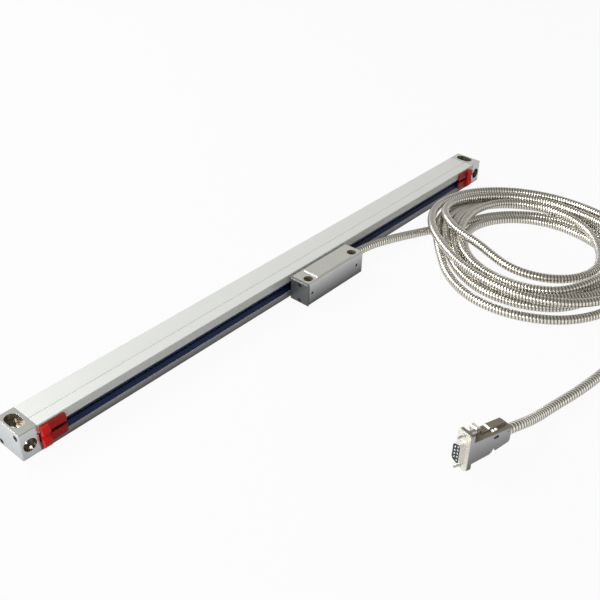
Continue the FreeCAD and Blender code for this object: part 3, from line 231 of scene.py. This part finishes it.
# %% Two soft lights
# Both hang above the bench and face the middle of the scale.
LIGHTS = {
    "back_light": {"place": (-0.45, 1.3, 1.2), "size": 0.75, "watts": 27.0},
    "left_light": {"place": (-1.3, 0.0, 0.6), "size": 0.5, "watts": 12.0},
}
for name, light in LIGHTS.items():
    lamp = bpy.data.lights.new(name, "AREA")
    lamp.size = light["size"]
    lamp.energy = light["watts"]
    made = bpy.data.objects.new(name, lamp)
    scene.collection.objects.link(made)
    made.location = light["place"]
    made.rotation_euler = (-Vector(light["place"])).to_track_quat("-Z", "Y").to_euler()
print("lights:", list(LIGHTS))

# %% [markdown]
# Finishes
# Every finish starts the same way: a Principled shader with its even settings written on its own
# sockets, then the places in millimetres, then noises that suit the kind of material. Drawn metal
# has long faint lines, cast metal is grainy, rubber is dull.


# %% What all finishes share
# How far a face looks up, from 0 to 1, where the painted shade and tint of the sides fade into those of the
# top.
SIDE_TO_TOP = (0.3, 0.8)


class Paint(Finish):
    """A material with a Principled shader, and the object's own places in millimetres."""

    def __init__(self, name, **even):
        self.material = bpy.data.materials.new(name)
        self.material.use_nodes = True
        super().__init__(self.material.node_tree)
        self.shader = self.material.node_tree.nodes["Principled BSDF"]
        for socket, value in even.items():
            self.shader.inputs[socket.replace("_", " ")].default_value = value
        coords = self.node("ShaderNodeTexCoord", output="Object")
        inputs = {0: coords, "Scale": 1 / MM}
        self.place = self.node("ShaderNodeVectorMath", {"operation": "SCALE"}, inputs)

    def stretched(self, amounts):
        """The places with each axis drawn out or pressed, for grain with a direction."""
        inputs = {0: self.place, 1: amounts}
        return self.node("ShaderNodeVectorMath", {"operation": "MULTIPLY"}, inputs)

    def noise(self, amounts, detail=3.0, roughness=0.5):
        inputs = {"Vector": self.stretched(amounts), "Scale": 1.0, "Detail": detail, "Roughness": roughness}
        return self.node("ShaderNodeTexNoise", inputs=inputs)

    def set(self, **varied):
        for socket, value in varied.items():
            self.feed(self.shader.inputs[socket.replace("_", " ")], value)

    def part_of(self, vector, axis):
        return self.node("ShaderNodeSeparateXYZ", inputs={0: vector}, output=axis)

    def rise(self, value, start, end):
        """0 up to start, 1 beyond end, and a straight rise between them."""
        inputs = {"Value": value, "From Min": start, "From Max": end}
        return self.node("ShaderNodeMapRange", inputs=inputs)

    def upright(self):
        """1 on the sides of the piece, 0 on what looks up."""
        facing = self.node("ShaderNodeTexCoord", output="Normal")
        return 1 - self.rise(self.part_of(facing, "Z"), *SIDE_TO_TOP)

    def bump(self, height, depth_mm):
        inputs = {"Height": height, "Distance": depth_mm * MM}
        self.set(Normal=self.node("ShaderNodeBump", inputs=inputs))


def grey(level, tint=(1.0, 1.0, 1.0)):
    return tuple(level * part for part in tint) + (1,)


# %% [markdown]
# Anodised and satin metal
# The long housing is finished as drawn aluminium with a pale clear anodising: a die leaves hair
# lines along its length. The end caps and the reader head are finished as cast metal, so their grain
# has no direction. A mixture of metal and plain pale colour stands for the milky oxide layer: pure
# metal would be a mirror, and its faces would all come out alike in a white tent.


# %% Aluminium finishes
# Heights and depths in the finishes are millimetres on the object.
DRAWN_TINT = (0.985, 1.0, 0.955)
# Painted shade: the sides of the housing turn this dark near the bench, fading out between these heights.
EXTRUSION_FOOT_SHADE = (0.10, 0.10, 0.095, 1)
EXTRUSION_FOOT_SHADE_HEIGHTS = (1.0, 13.0)


def extrusion_finish():
    paint = Paint("drawn_aluminium", Metallic=0.15, Roughness=0.4)
    lines = paint.noise((0.004, 2.2, 2.2), 4.0, 0.65)
    clouds = paint.noise((0.02, 0.06, 0.06), 2.0)
    tone = lines * 0.6 + clouds * 0.4
    bright = mixed(tone, grey(0.66, DRAWN_TINT), grey(0.74, DRAWN_TINT))
    # Painted shade on the lower sides, darker towards the bench.
    shade_near_foot = 1 - paint.rise(paint.part_of(paint.place, "Z"), *EXTRUSION_FOOT_SHADE_HEIGHTS)
    colour = mixed(paint.upright() * shade_near_foot * 0.95, bright, EXTRUSION_FOOT_SHADE)
    paint.set(Base_Color=colour, Roughness=0.34 + lines * 0.14)
    paint.bump(lines, 0.008)
    return paint.material


# Painted shade: the sides of cast pieces turn towards this near the bench, fading out between these
# heights.
CAST_FOOT_SHADE = (0.035, 0.033, 0.03, 1)
CAST_FOOT_SHADE_HEIGHTS = (0.0, 24.0)
# Painted shade: the colour inside sunk holes.
HOLE_SHADE = (0.36, 0.31, 0.24, 1)
# A box of sunk holes that starts further out than this holds for both ends of the scale.
BOTH_ENDS_BEYOND = 200.0


def cast_finish(
    name, dark, pale, tint, metallic, roughness, foot_shade=0.0, painted_top_tint=None, shaded_holes=(), grain_mm=0.006
):
    """Grainy metal. Painted shade darkens the foot of its sides by the given share and fills the given
    boxes of its sunk holes, and its top can be painted another tint for how light falls on it.
    """
    paint = Paint(name, Metallic=metallic, Roughness=roughness)
    grain = paint.noise((1.6, 1.6, 1.6), 5.0, 0.6)
    clouds = paint.noise((0.05, 0.05, 0.05), 2.0)
    tone = grain * 0.4 + clouds * 0.6
    colour = mixed(tone, grey(dark, tint), grey(pale, tint))
    height = paint.part_of(paint.place, "Z")
    # Painted light and shade: the top gets another tint than the sides, for how light falls on it.
    if painted_top_tint:
        colour = mixed(paint.upright(), mixed(tone, grey(dark, painted_top_tint), grey(pale, painted_top_tint)), colour)
    # Painted shade at the foot of the sides, as strong as the given share.
    if foot_shade:
        shade_near_foot = 1 - paint.rise(height, *CAST_FOOT_SHADE_HEIGHTS)
        colour = mixed(paint.upright() * shade_near_foot * foot_shade, colour, CAST_FOOT_SHADE)
    # Painted shade: inside each box round a sunk hole the colour turns to the hole's shade.
    for low, high in shaded_holes:
        in_hole_shade = 1
        for axis, start, end in zip("XYZ", low, high):
            place = paint.part_of(paint.place, axis)
            if axis == "X" and start > BOTH_ENDS_BEYOND:
                place = place.size()
            in_hole_shade = (place > start) * (place < end) * in_hole_shade
        colour = mixed(in_hole_shade, colour, HOLE_SHADE)
    paint.set(Base_Color=colour, Roughness=roughness - 0.06 + grain * 0.12)
    paint.bump(grain, grain_mm)
    return paint.material


def steel_finish(name, level, roughness, stretch):
    paint = Paint(name, Metallic=0.85, Roughness=roughness)
    lines = paint.noise(stretch, 4.0, 0.6)
    colour = mixed(lines, grey(level * 0.8, (1.0, 0.99, 0.97)), grey(level, (1.0, 0.995, 0.98)))
    paint.set(Base_Color=colour, Roughness=roughness - 0.05 + lines * 0.14)
    paint.bump(lines, 0.006)
    return paint.material


# %% [markdown]
# Rubber, paint, glass and the small parts
# The lips are navy rubber with the faint long lines of an extrusion. The two brackets have a red
# lacquer, whose slight orange peel is a soft bump. The scale is clear glass with chrome lines, drawn
# here as coarse ones from a wave along its length.


# %% Rubber, lacquer, glass and boards
DEEP_RED = (0.66, 0.012, 0.007, 1)
BRIGHT_RED = (0.78, 0.018, 0.01, 1)
# Painted shade: the plate behind the posts is painted this darker red.
SHADED_RED = (0.10, 0.001, 0.001, 1)
SHADE_BEHIND_POSTS = (-5.8, -4.8)
RULING_STEP = 0.8
BOARD_GREEN = (0.012, 0.11, 0.045, 1)
TRACK_GREEN = (0.03, 0.22, 0.09, 1)
TRACK_REACH = 0.32


def rubber_finish(name, dark, pale, roughness, stretch):
    paint = Paint(name, Roughness=roughness, Specular_IOR_Level=0.2)
    lines = paint.noise(stretch, 3.0)
    paint.set(Base_Color=mixed(lines, dark, pale), Roughness=roughness - 0.08 + lines * 0.16)
    paint.bump(lines, 0.04)
    return paint.material


def lacquer_finish():
    paint = Paint("red_lacquer", Roughness=0.35, Coat_Roughness=0.12, Specular_IOR_Level=0.15)
    peel = paint.noise((0.5, 0.5, 0.5), 2.0)
    clouds = paint.noise((0.06, 0.06, 0.06), 2.0)
    bright = mixed(clouds, DEEP_RED, BRIGHT_RED)
    # Painted shade on the plate behind the posts.
    shade_behind_posts = paint.rise(paint.part_of(paint.place, "Y"), *SHADE_BEHIND_POSTS)
    colour = mixed(shade_behind_posts * 0.6, bright, SHADED_RED)
    paint.set(Base_Color=colour, Roughness=0.32 + peel * 0.1, Coat_Weight=0.03 + clouds * 0.05)
    paint.bump(peel, 0.012)
    return paint.material


def glass_finish():
    paint = Paint("ruled_glass", Roughness=0.05, Transmission_Weight=0.85, IOR=1.5)
    lengthwise = paint.part_of(paint.place, "X")
    ruling = (lengthwise * (2 * math.pi / RULING_STEP)).wave() > 0.2
    paint.set(Base_Color=mixed(ruling, grey(0.92), grey(0.35)), Metallic=ruling * 0.8)
    return paint.material


def board_finish():
    paint = Paint("green_board", Roughness=0.4, Coat_Roughness=0.15)
    inputs = {"Vector": paint.stretched((0.35, 0.35, 0.35)), "Scale": 1.0}
    tracks = paint.node("ShaderNodeTexVoronoi", {"distance": "MANHATTAN", "feature": "F1"}, inputs)
    on_track = tracks < TRACK_REACH
    colour = mixed(on_track, BOARD_GREEN, TRACK_GREEN)
    paint.set(Base_Color=colour, Coat_Weight=0.4 + on_track * 0.2)
    paint.bump(on_track, 0.035)
    return paint.material


# %% [markdown]
# The cable's armour and the connector
# The cable is armoured with one strip of metal wound in a screw line. The ridges are made as real
# folds in its mesh further down, and a value stored on each point says how high on a ridge it sits,
# so the finish paints shade into the grooves and keeps the crests in the bright metal, varied by wear.

# %% Cable and connector finishes
RIDGE_VALUE = "ridge"
# Painted shade: the grooves are painted dark, and the crests keep the metal's own colour.
SHADED_GROOVE = (0.20, 0.165, 0.115, 1)
CREST_METAL = (0.96, 0.945, 0.88, 1)


def armour_finish():
    paint = Paint("wound_armour", Metallic=0.92, Roughness=0.22)
    crest = paint.node("ShaderNodeAttribute", {"attribute_name": RIDGE_VALUE}, output="Fac")
    wear = paint.noise((0.3, 0.3, 0.3), 4.0, 0.6)
    # High on the crests, low in the grooves where shade is painted, and varied by wear.
    groove_shade_and_wear = crest * (0.7 + wear * 0.6)
    colour = mixed(groove_shade_and_wear, SHADED_GROOVE, CREST_METAL)
    paint.set(Base_Color=colour, Roughness=0.34 - groove_shade_and_wear * 0.14)
    return paint.material


def plain_plastic(name, dark, pale, roughness):
    paint = Paint(name, Roughness=roughness)
    grain = paint.noise((1.2, 1.2, 1.2), 4.0)
    paint.set(Base_Color=mixed(grain, dark, pale), Roughness=roughness - 0.05 + grain * 0.1)
    paint.bump(grain, 0.02)
    return paint.material


# Boxes in mm round the sunk holes, inside which shade is painted: the lowest and the highest X, Y
# and Z. Those of the caps hold for both ends, so X counts as a size there.
CAP_HOLE_SHADE_BOXES = (((286.5, 3.0, 12.0), (298.7, 22.8, 23.8)), ((286.5, -2.9, 5.0), (298.7, 3.2, 17.5)))
HEAD_HOLE_SHADE_BOXES = (((-18.0, -23.2, 12.0), (-8.0, -14.0, 22.9)), ((43.5, -23.2, 12.0), (54.0, -14.0, 22.9)))
NAVY = ((0.004, 0.012, 0.055, 1), (0.012, 0.030, 0.11, 1))
DARK_PLASTIC = ((0.004, 0.012, 0.020, 1), (0.008, 0.020, 0.032, 1))
FINISHES = {
    "extrusion": extrusion_finish(),
    "lip_rubber": rubber_finish("navy_lips", *NAVY, 0.45, (0.01, 1.2, 1.2)),
    "scale_glass": glass_finish(),
    "cushion_rubber": rubber_finish("grey_rubber", grey(0.03), grey(0.06), 0.6, (0.5, 0.5, 0.5)),
    "end_cap_metal": cast_finish(
        "polished_caps", 0.66, 0.76, (0.95, 0.99, 1.0), 0.8, 0.22,
        foot_shade=0.25, painted_top_tint=(1.0, 0.99, 0.95), shaded_holes=CAP_HOLE_SHADE_BOXES,
    ),
    "dark_cover": cast_finish("dark_cover", 0.15, 0.20, (0.94, 0.98, 1.0), 0.7, 0.32, foot_shade=0.4),
    "pale_gasket": rubber_finish("pale_gasket", grey(0.30), grey(0.38), 0.6, (0.5, 0.5, 0.5)),
    "blackened_screws": steel_finish("blackened_screws", 0.06, 0.35, (1.5, 1.5, 1.5)),
    "screw_steel": steel_finish("screw_steel", 0.62, 0.28, (1.5, 1.5, 1.5)),
    "bracket_red": lacquer_finish(),
    "head_metal": cast_finish(
        "satin_head", 0.66, 0.76, (0.98, 0.98, 1.0), 0.7, 0.34,
        foot_shade=1.0, painted_top_tint=(1.0, 1.0, 0.93), shaded_holes=HEAD_HOLE_SHADE_BOXES,
    ),
    "blade_steel": steel_finish("blade_steel", 0.55, 0.25, (0.3, 1.5, 1.5)),
    "carriage_metal": cast_finish("carriage_casting", 0.40, 0.52, (1.0, 0.99, 0.97), 0.6, 0.4),
    "roller_steel": steel_finish("roller_steel", 0.6, 0.2, (2.0, 2.0, 2.0)),
    "circuit_board": board_finish(),
    "cable_armour": armour_finish(),
    "cable_bundle": armour_finish(),
    "shell_metal": cast_finish(
        "tinned_shell", 0.80, 0.90, (1.0, 0.965, 0.88), 0.6, 0.28, grain_mm=0.0015,
    ),
    "insulator_plastic": plain_plastic("dark_insulator", *DARK_PLASTIC, 0.35),
    "contact_gold": steel_finish("contact_metal", 0.9, 0.4, (2.0, 2.0, 2.0)),
    "hood_metal": cast_finish(
        "satin_hood", 0.44, 0.56, (0.99, 0.97, 1.0), 0.75, 0.3,
        # Painted shade: the hood's top is painted a darker olive.
        foot_shade=0.8, painted_top_tint=(0.58, 0.51, 0.39), grain_mm=0.003,
    ),
}
print("finishes:", len(FINISHES))

# %% [markdown]
# Softened edges on the CAD solids
# No real edge is perfectly sharp: a tiny rounding catches a bright line of light. The solids arrive
# as loose triangles, so they are first welded and their flat triangles merged, then bevelled where
# two faces meet at a clear angle. Modifiers do it, and leave the CAD vertices as they are.

# %% Slots, finishes and edges of the CAD nodes
EDGE = 0.22 * MM
FINE_EDGE = 0.1 * MM
SOFT_EDGE = 0.45 * MM
EDGE_SEGMENTS = 2
WELD_WITHIN = 0.001 * MM
FLAT_WITHIN = math.radians(0.5)
SHARP_BEYOND = math.radians(38)
SOFT_NODES = ("head_housing", "left_transit_bracket", "right_transit_bracket")
FINE_NODES = ("connector_contacts", "index_grating", "collimating_lens", "glass_scale", "roller_pins")
slot_of = {entry["node"]: entry["material_slot"] for entry in frame["record"]["subparts"]}
# Nodes whose finish differs from the rest of their slot, by the end of their name.
OWN_FINISH = {
    "cap_screws": "blackened_screws",
    "end_cover_screws": "blackened_screws",
    "head_end_cover": "dark_cover",
    "left_end_gasket": "pale_gasket",
    "right_end_gasket": "pale_gasket",
}


def soften(solid, width):
    for face in solid.data.polygons:
        face.use_smooth = True
    if "custom_normal" in solid.data.attributes:
        solid.data.attributes.remove(solid.data.attributes["custom_normal"])
    weld = solid.modifiers.new("weld", "WELD")
    weld.merge_threshold = WELD_WITHIN
    merge = solid.modifiers.new("merge_flats", "DECIMATE")
    merge.decimate_type = "DISSOLVE"
    merge.angle_limit = FLAT_WITHIN
    bevel = solid.modifiers.new("edges", "BEVEL")
    bevel.width = width
    bevel.segments = EDGE_SEGMENTS
    bevel.limit_method = "ANGLE"
    bevel.angle_limit = SHARP_BEYOND
    bevel.use_clamp_overlap = True
    bevel.harden_normals = True


def edge_of(name):
    if name in FINE_NODES:
        return FINE_EDGE
    return SOFT_EDGE if name in SOFT_NODES else EDGE


def finish_of(name):
    """The node's own finish where the end of its name is listed, or else that of its slot."""
    for ending, finish in OWN_FINISH.items():
        if name.endswith(ending):
            return FINISHES[finish]
    return FINISHES[slot_of[name]]


for name, solid in nodes.items():
    solid.data.materials.clear()
    solid.data.materials.append(finish_of(name))
    soften(solid, edge_of(name))
print("softened:", len(nodes), "solids")

# %% [markdown]
# The cable's route
# The cable leaves the head level, sinks to the bench, runs round a loose coil of seven and a half
# turns, and comes back along the bench to the connector. The two tails are listed points, some of
# them from places in the photograph that the solved camera turned into millimetres. The coil is laid
# as a person lays it: each turn has its own reach in eight directions, and starts a little higher
# than the last. These reaches were neither measured nor chosen by hand. They are the radii that a
# fitting program printed, rounded to whole millimetres. They are radii fitted to strands traced in
# the photograph and to guesses past the picture's right edge, rounded to whole millimetres.

# %% Where the cable goes
CABLE_DIAMETER = 8.4
CABLE_EXIT = (59.0, -11.3, 12.0)
HEAD_TAIL = (
    CABLE_EXIT, (72.0, -11.3, 12.0), (90.0, -13.6, 11.4), (106.0, -16.6, 9.8),
    (125.0, -20.6, 7.4), (143.7, -25.9, 5.4), (158.0, -31.0, 4.5),
)
PLUG_TAIL = (
    (168.0, -247.5, 8.5), (147.0, -256.2, 4.6), (118.0, -262.6, 4.3), (85.0, -264.6, 4.3),
    (52.6, -262.2, 4.3), (25.2, -258.0, 4.3), (2.0, -253.0, 4.3), (-17.5, -250.7, 6.2),
    (-33.5, -249.5, 10.4), (-47.2, -247.3, 14.1), (-58.61, -243.76, 14.95),
)
COIL_CENTRE = (190.0, -130.0)
LYING_HEIGHT = 4.3
LAID_RISE = 24.0
# Far side first, then clockwise seen from above, in steps of 45 degrees.
REACH = (
    (81, 79, 84, 90, 102, 113, 108, 89),
    (102, 117, 111, 104, 81, 93, 90, 80),
    (94, 109, 102, 96, 94, 90, 79, 74),
    (87, 101, 94, 88, 87, 69, 61, 63),
    (70, 70, 70, 73, 80, 82, 70, 70),
    (78, 96, 80, 66, 65, 56, 49, 54),
    (105, 103, 89, 88, 107, 103, 87, 88),
    (112, 111, 103, 103, 112),
)
STEP_DEGREES = 22.5


def halved(values):
    """The values with a smooth one between each pair, by the four-point rule."""
    padded = [values[0], *values, values[-1]]
    result = []
    for before, here, after, beyond in zip(padded, padded[1:], padded[2:], padded[3:]):
        result += [here, (9 * (here + after) - before - beyond) / 16]
    return result + [values[-1]]


reach = np.array(halved([value for turn in REACH for value in turn]))
bearing = np.radians(90 - STEP_DEGREES * np.arange(len(reach)))
outward = np.column_stack([np.cos(bearing), np.sin(bearing)])
height = LYING_HEIGHT + LAID_RISE * np.linspace(0, 1, len(reach))
print("coil points:", len(reach), "turns:", round((len(reach) - 1) * STEP_DEGREES / 360, 2))

# %% [markdown]
# Letting the coil settle
# Turns that are only drawn would cut through each other. Here the cable sinks a little at each
# round, and wherever two stretches come closer than its thickness they push apart, so that it ends
# up lying on the bench and on itself. The points that move are the curve's control points, which
# keeps every bend smooth however they are pushed.

# %% Settling under its own weight
ROUNDS = 400
SAMPLES = 7
SINK = 0.03
PUSH = 0.35
PULL = 0.02
EASE = 0.02
APART = 3 * SAMPLES
NEARBY = 1.6 * CABLE_DIAMETER
LOOK_AGAIN = 10
LEAST_GAP = 0.1
DEEPEST_CUT = 3
LONGEST_MOVE = 1.5


def curve_weights(count):
    """For each sample, how much each control point of the smooth curve counts."""
    rows = []
    for middle in range(1, count - 1):
        for step in range(SAMPLES):
            t = (step + 0.5) / SAMPLES
            row = np.zeros(count)
            row[middle - 1:middle + 2] = ((1 - t) ** 2 / 2, 0.5 + t * (1 - t), t * t / 2)
            rows.append(row)
    return np.array(rows)


def control_points(reach, height):
    coil = np.column_stack([np.array(COIL_CENTRE) + reach[:, None] * outward, height])
    return np.vstack([HEAD_TAIL, coil, PLUG_TAIL])


def settle(reach, height):
    weights = curve_weights(len(HEAD_TAIL) + len(reach) + len(PLUG_TAIL))
    on_coil = weights[:, len(HEAD_TAIL):len(HEAD_TAIL) + len(reach)]
    share = on_coil.sum(0)[:, None]
    laid, reach, height = reach, reach.copy(), height.copy()
    for lap in range(ROUNDS):
        points = weights @ control_points(reach, height)
        if lap % LOOK_AGAIN == 0:
            gaps = np.linalg.norm(points[:, None] - points[None], axis=2)
            one, other = np.where(np.triu(gaps < NEARBY, APART))
        apart = points[one] - points[other]
        gap = np.maximum(np.linalg.norm(apart, axis=1), LEAST_GAP)
        push = (PUSH * np.clip(CABLE_DIAMETER - gap, 0, DEEPEST_CUT) / gap)[:, None] * apart
        moves = np.zeros_like(points)
        np.add.at(moves, one, push)
        np.add.at(moves, other, -push)
        moves[:, 2] -= SINK
        moved = on_coil.T @ np.clip(moves, -LONGEST_MOVE, LONGEST_MOVE) / share
        reach += (moved[:, :2] * outward).sum(1) + PULL * (laid - reach)
        height += moved[:, 2]
        height[1:-1] += EASE * ((height[2:] + height[:-2]) / 2 - height[1:-1])
        height = np.maximum(height, LYING_HEIGHT)
    return control_points(reach, height)


route = settle(reach, height)
print("settled coil height in mm:", round(float(route[:, 2].max() + CABLE_DIAMETER / 2), 1))

# %% [markdown]
# The curve and the armour round it
# One curve of Blender's NURBS kind follows the whole route, and its own line is read back from
# Blender in short steps. The armour is a strip wound in a screw line, so the mesh is wound in the
# same way: each row of points runs along the cable as it goes round, and the row that closes a turn
# joins the one a whole ridge further on. Ridges then stay sharp with few points.

# %% The cable's curve
CURVE_STEPS = 24
CURVE_ORDER = 3
TUCKED_IN = 7 * MM
curve = bpy.data.curves.new("cable_line", "CURVE")
curve.dimensions = "3D"
curve.resolution_u = CURVE_STEPS
spline = curve.splines.new("NURBS")
spline.points.add(len(route) - 1)
for point, place in zip(spline.points, route):
    point.co = (*(Vector(place) * MM), 1.0)
spline.order_u = CURVE_ORDER
spline.use_endpoint_u = True
line_object = bpy.data.objects.new("cable_line", curve)
scene.collection.objects.link(line_object)
bpy.context.view_layer.update()
evaluated = line_object.evaluated_get(bpy.context.evaluated_depsgraph_get())
read = bpy.data.meshes.new_from_object(evaluated)
line = np.array([vertex.co for vertex in read.vertices])
first_way, last_way = line[0] - line[1], line[-1] - line[-2]
inside_head = line[0] + first_way / np.linalg.norm(first_way) * TUCKED_IN
inside_hood = line[-1] + last_way / np.linalg.norm(last_way) * TUCKED_IN
line = np.vstack([inside_head, line, inside_hood])
bpy.data.objects.remove(line_object)
bpy.data.meshes.remove(read)
travelled = np.concatenate([[0], np.cumsum(np.linalg.norm(np.diff(line, axis=0), axis=1))])
CABLE_LENGTH = float(travelled[-1])
print("cable length in mm:", round(CABLE_LENGTH / MM), "points:", len(line))

# %% The wound armour
PITCH = 2.9 * MM
ROUND = 12
RIDGE_HEIGHT = 0.32 * MM
PROFILE = (0.0, 0.15, 1.0, 1.0, 0.75)
LOOK_AROUND = 0.5 * MM


def along(distance):
    """Places on the cable's line at the given distances."""
    return np.column_stack([np.interp(distance, travelled, line[:, axis]) for axis in range(3)])


def armour_mesh():
    rows = int(CABLE_LENGTH / PITCH) * len(PROFILE) - len(PROFILE)
    row, spoke = np.meshgrid(np.arange(rows), np.arange(ROUND), indexing="ij")
    distance = ((row / len(PROFILE) + spoke / ROUND) * PITCH).ravel()
    centre = along(distance)
    ahead = along(distance + LOOK_AROUND) - along(distance - LOOK_AROUND)
    ahead /= np.linalg.norm(ahead, axis=1)[:, None]
    side = np.cross((0, 0, 1), ahead)
    side /= np.linalg.norm(side, axis=1)[:, None]
    above = np.cross(ahead, side)
    angle = (spoke.ravel() * 2 * math.pi / ROUND)[:, None]
    crest = np.array(PROFILE)[row.ravel() % len(PROFILE)]
    radius = CABLE_DIAMETER / 2 * MM - RIDGE_HEIGHT * (1 - crest)
    places = centre + radius[:, None] * (np.cos(angle) * side + np.sin(angle) * above)
    index = np.arange(rows * ROUND).reshape(rows, ROUND)
    here = index[:-1 - len(PROFILE)]
    next_row = index[1:-len(PROFILE)]
    turn_on = len(PROFILE)
    right = np.concatenate([here[:, 1:], index[turn_on:-1][:, :1]], axis=1)
    right_next = np.concatenate([next_row[:, 1:], index[turn_on + 1:][:, :1]], axis=1)
    faces = np.stack([here, right, right_next, next_row], axis=2).reshape(-1, 4)
    return places, faces, crest


places, faces, crest = armour_mesh()
mesh = bpy.data.meshes.new("armoured_cable")
mesh.from_pydata(places.tolist(), [], faces.tolist())
mesh.attributes.new(RIDGE_VALUE, "FLOAT", "POINT").data.foreach_set("value", crest.astype(np.float32))
for face in mesh.polygons:
    face.use_smooth = True
mesh.materials.append(FINISHES["cable_armour"])
cable = bpy.data.objects.new("armoured_cable", mesh)
scene.collection.objects.link(cable)
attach(cable, "reader_head")
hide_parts("cable_head_tail", "cable_coil", "cable_plug_tail")
print("armour points:", len(places), "faces:", len(faces))

# %% [markdown]
# Small parts of the connector
# Five pieces of the connector are too small for the CAD model: the turned rims of its nine contacts,
# the barrel of the cross screw behind the flange, the raised back of the hood, the clip on its seam
# and the clip's hook. They are drawn in the connector's own axes, along it from the flange, across
# its thickness, and up, and then laid where it lies.

# %% Turned and cut pieces in the connector's axes
PLUG_PLACE = Vector((-101.1, -238.7, 1.2)) * MM
PLUG_TURN = Euler([math.radians(angle) for angle in (-4.5, 4.0, -17.0)])
FLANGE_MIDDLE = (6.25, 15.4)
SPOKES = 28
PIECE_SHARP_BEYOND = math.radians(30)


def plug_piece(name, points, faces, slot, softness):
    mesh = bpy.data.meshes.new(name)
    lying = PLUG_TURN.to_matrix()
    mesh.from_pydata([PLUG_PLACE + lying @ (Vector(point) * MM) for point in points], [], faces)
    for face in mesh.polygons:
        face.use_smooth = True
    mesh.materials.append(FINISHES[slot])
    made = bpy.data.objects.new(name, mesh)
    scene.collection.objects.link(made)
    edges = made.modifiers.new("edges", "BEVEL")
    edges.width = softness * MM
    edges.segments = EDGE_SEGMENTS
    edges.angle_limit = PIECE_SHARP_BEYOND
    edges.harden_normals = True
    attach(made, "reader_head")
    return made


def turned(profile, middle, axis):
    """A closed ring of (along, radius) points turned round a line along one of the three axes."""
    points, faces = [], []
    for spoke in range(SPOKES):
        angle = 2 * math.pi * spoke / SPOKES
        for distance, radius in profile:
            point = [middle[0] + radius * math.cos(angle), middle[1] + radius * math.sin(angle)]
            point.insert(axis, distance)
            points.append(point)
    count = len(profile)
    for spoke in range(SPOKES):
        here, there = spoke * count, (spoke + 1) % SPOKES * count
        for k in range(count):
            after = (k + 1) % count
            corner = [here + k, here + after, there + after, there + k]
            faces.append(corner if axis == 1 else corner[::-1])
    return points, faces


def cut_block(outline, near, far):
    """A side view given as (along, up) points, as thick as from near to far."""
    count = len(outline)
    points = [(a, b, h) for b in (near, far) for a, h in outline]
    sides = [[k, (k + 1) % count, count + (k + 1) % count, count + k] for k in range(count)]
    return points, sides + [list(range(count))[::-1], list(range(count, 2 * count))]


def joined(pieces):
    points, faces = [], []
    for more_points, more_faces in pieces:
        faces += [[index + len(points) for index in face] for face in more_faces]
        points += more_points
    return points, faces


# %% Contacts, screw barrel, raised back and clip
CONTACT_ROWS = ((-1, 5), (1, 4))
CONTACT_STEP = 2.77
ROW_STEP = 2.84
RIM = ((-5.3, 0.2), (-5.3, 0.76), (-5.6, 0.72), (-5.68, 0.6), (-5.6, 0.2))
BARREL = (
    (6.6, 0.8), (6.6, 2.4), (7.0, 2.7), (11.6, 2.7), (11.7, 2.1),
    (12.0, 2.1), (12.1, 2.7), (13.2, 2.7), (13.5, 2.3), (13.5, 0.8),
)
BARREL_MIDDLE = (13.5, 26.7)
RAISED_BACK = (
    (15.5, 23.2), (16.2, 24.9), (22.6, 25.1), (24.0, 26.2), (38.2, 26.4), (39.6, 25.0), (39.8, 23.2),
)
RAISED_BACK_SIDES = (5.4, 11.4)
CLIP = (
    (24.2, 23.0), (24.2, 24.6), (25.0, 25.2), (25.8, 24.8), (26.8, 24.8),
    (27.6, 25.4), (28.6, 25.4), (29.2, 24.6), (29.2, 23.0),
)
CLIP_SIDES = (2.6, 5.0)
HOOK = ((23.6, 20.2), (27.6, 20.6), (27.6, 22.0), (25.2, 21.9), (24.9, 21.4), (23.6, 21.3))
HOOK_SIDES = (-0.45, 0.6)

rims = []
for row, count in CONTACT_ROWS:
    across = FLANGE_MIDDLE[0] + row * ROW_STEP / 2
    for index in range(count):
        up = FLANGE_MIDDLE[1] + (index - (count - 1) / 2) * CONTACT_STEP
        rims.append(turned(RIM, (across, up), 0))
connector_pieces = [
    plug_piece("contact_rims", *joined(rims), "contact_gold", 0.03),
    plug_piece("cross_screw_barrel", *turned(BARREL, BARREL_MIDDLE, 1), "shell_metal", 0.12),
    plug_piece("raised_back", *cut_block(RAISED_BACK, *RAISED_BACK_SIDES), "hood_metal", 0.2),
    plug_piece("seam_clip", *cut_block(CLIP, *CLIP_SIDES), "shell_metal", 0.25),
    plug_piece("clip_hook", *cut_block(HOOK, *HOOK_SIDES), "cushion_rubber", 0.12),
]
print("connector pieces:", len(connector_pieces), "contact rims:", len(rims))
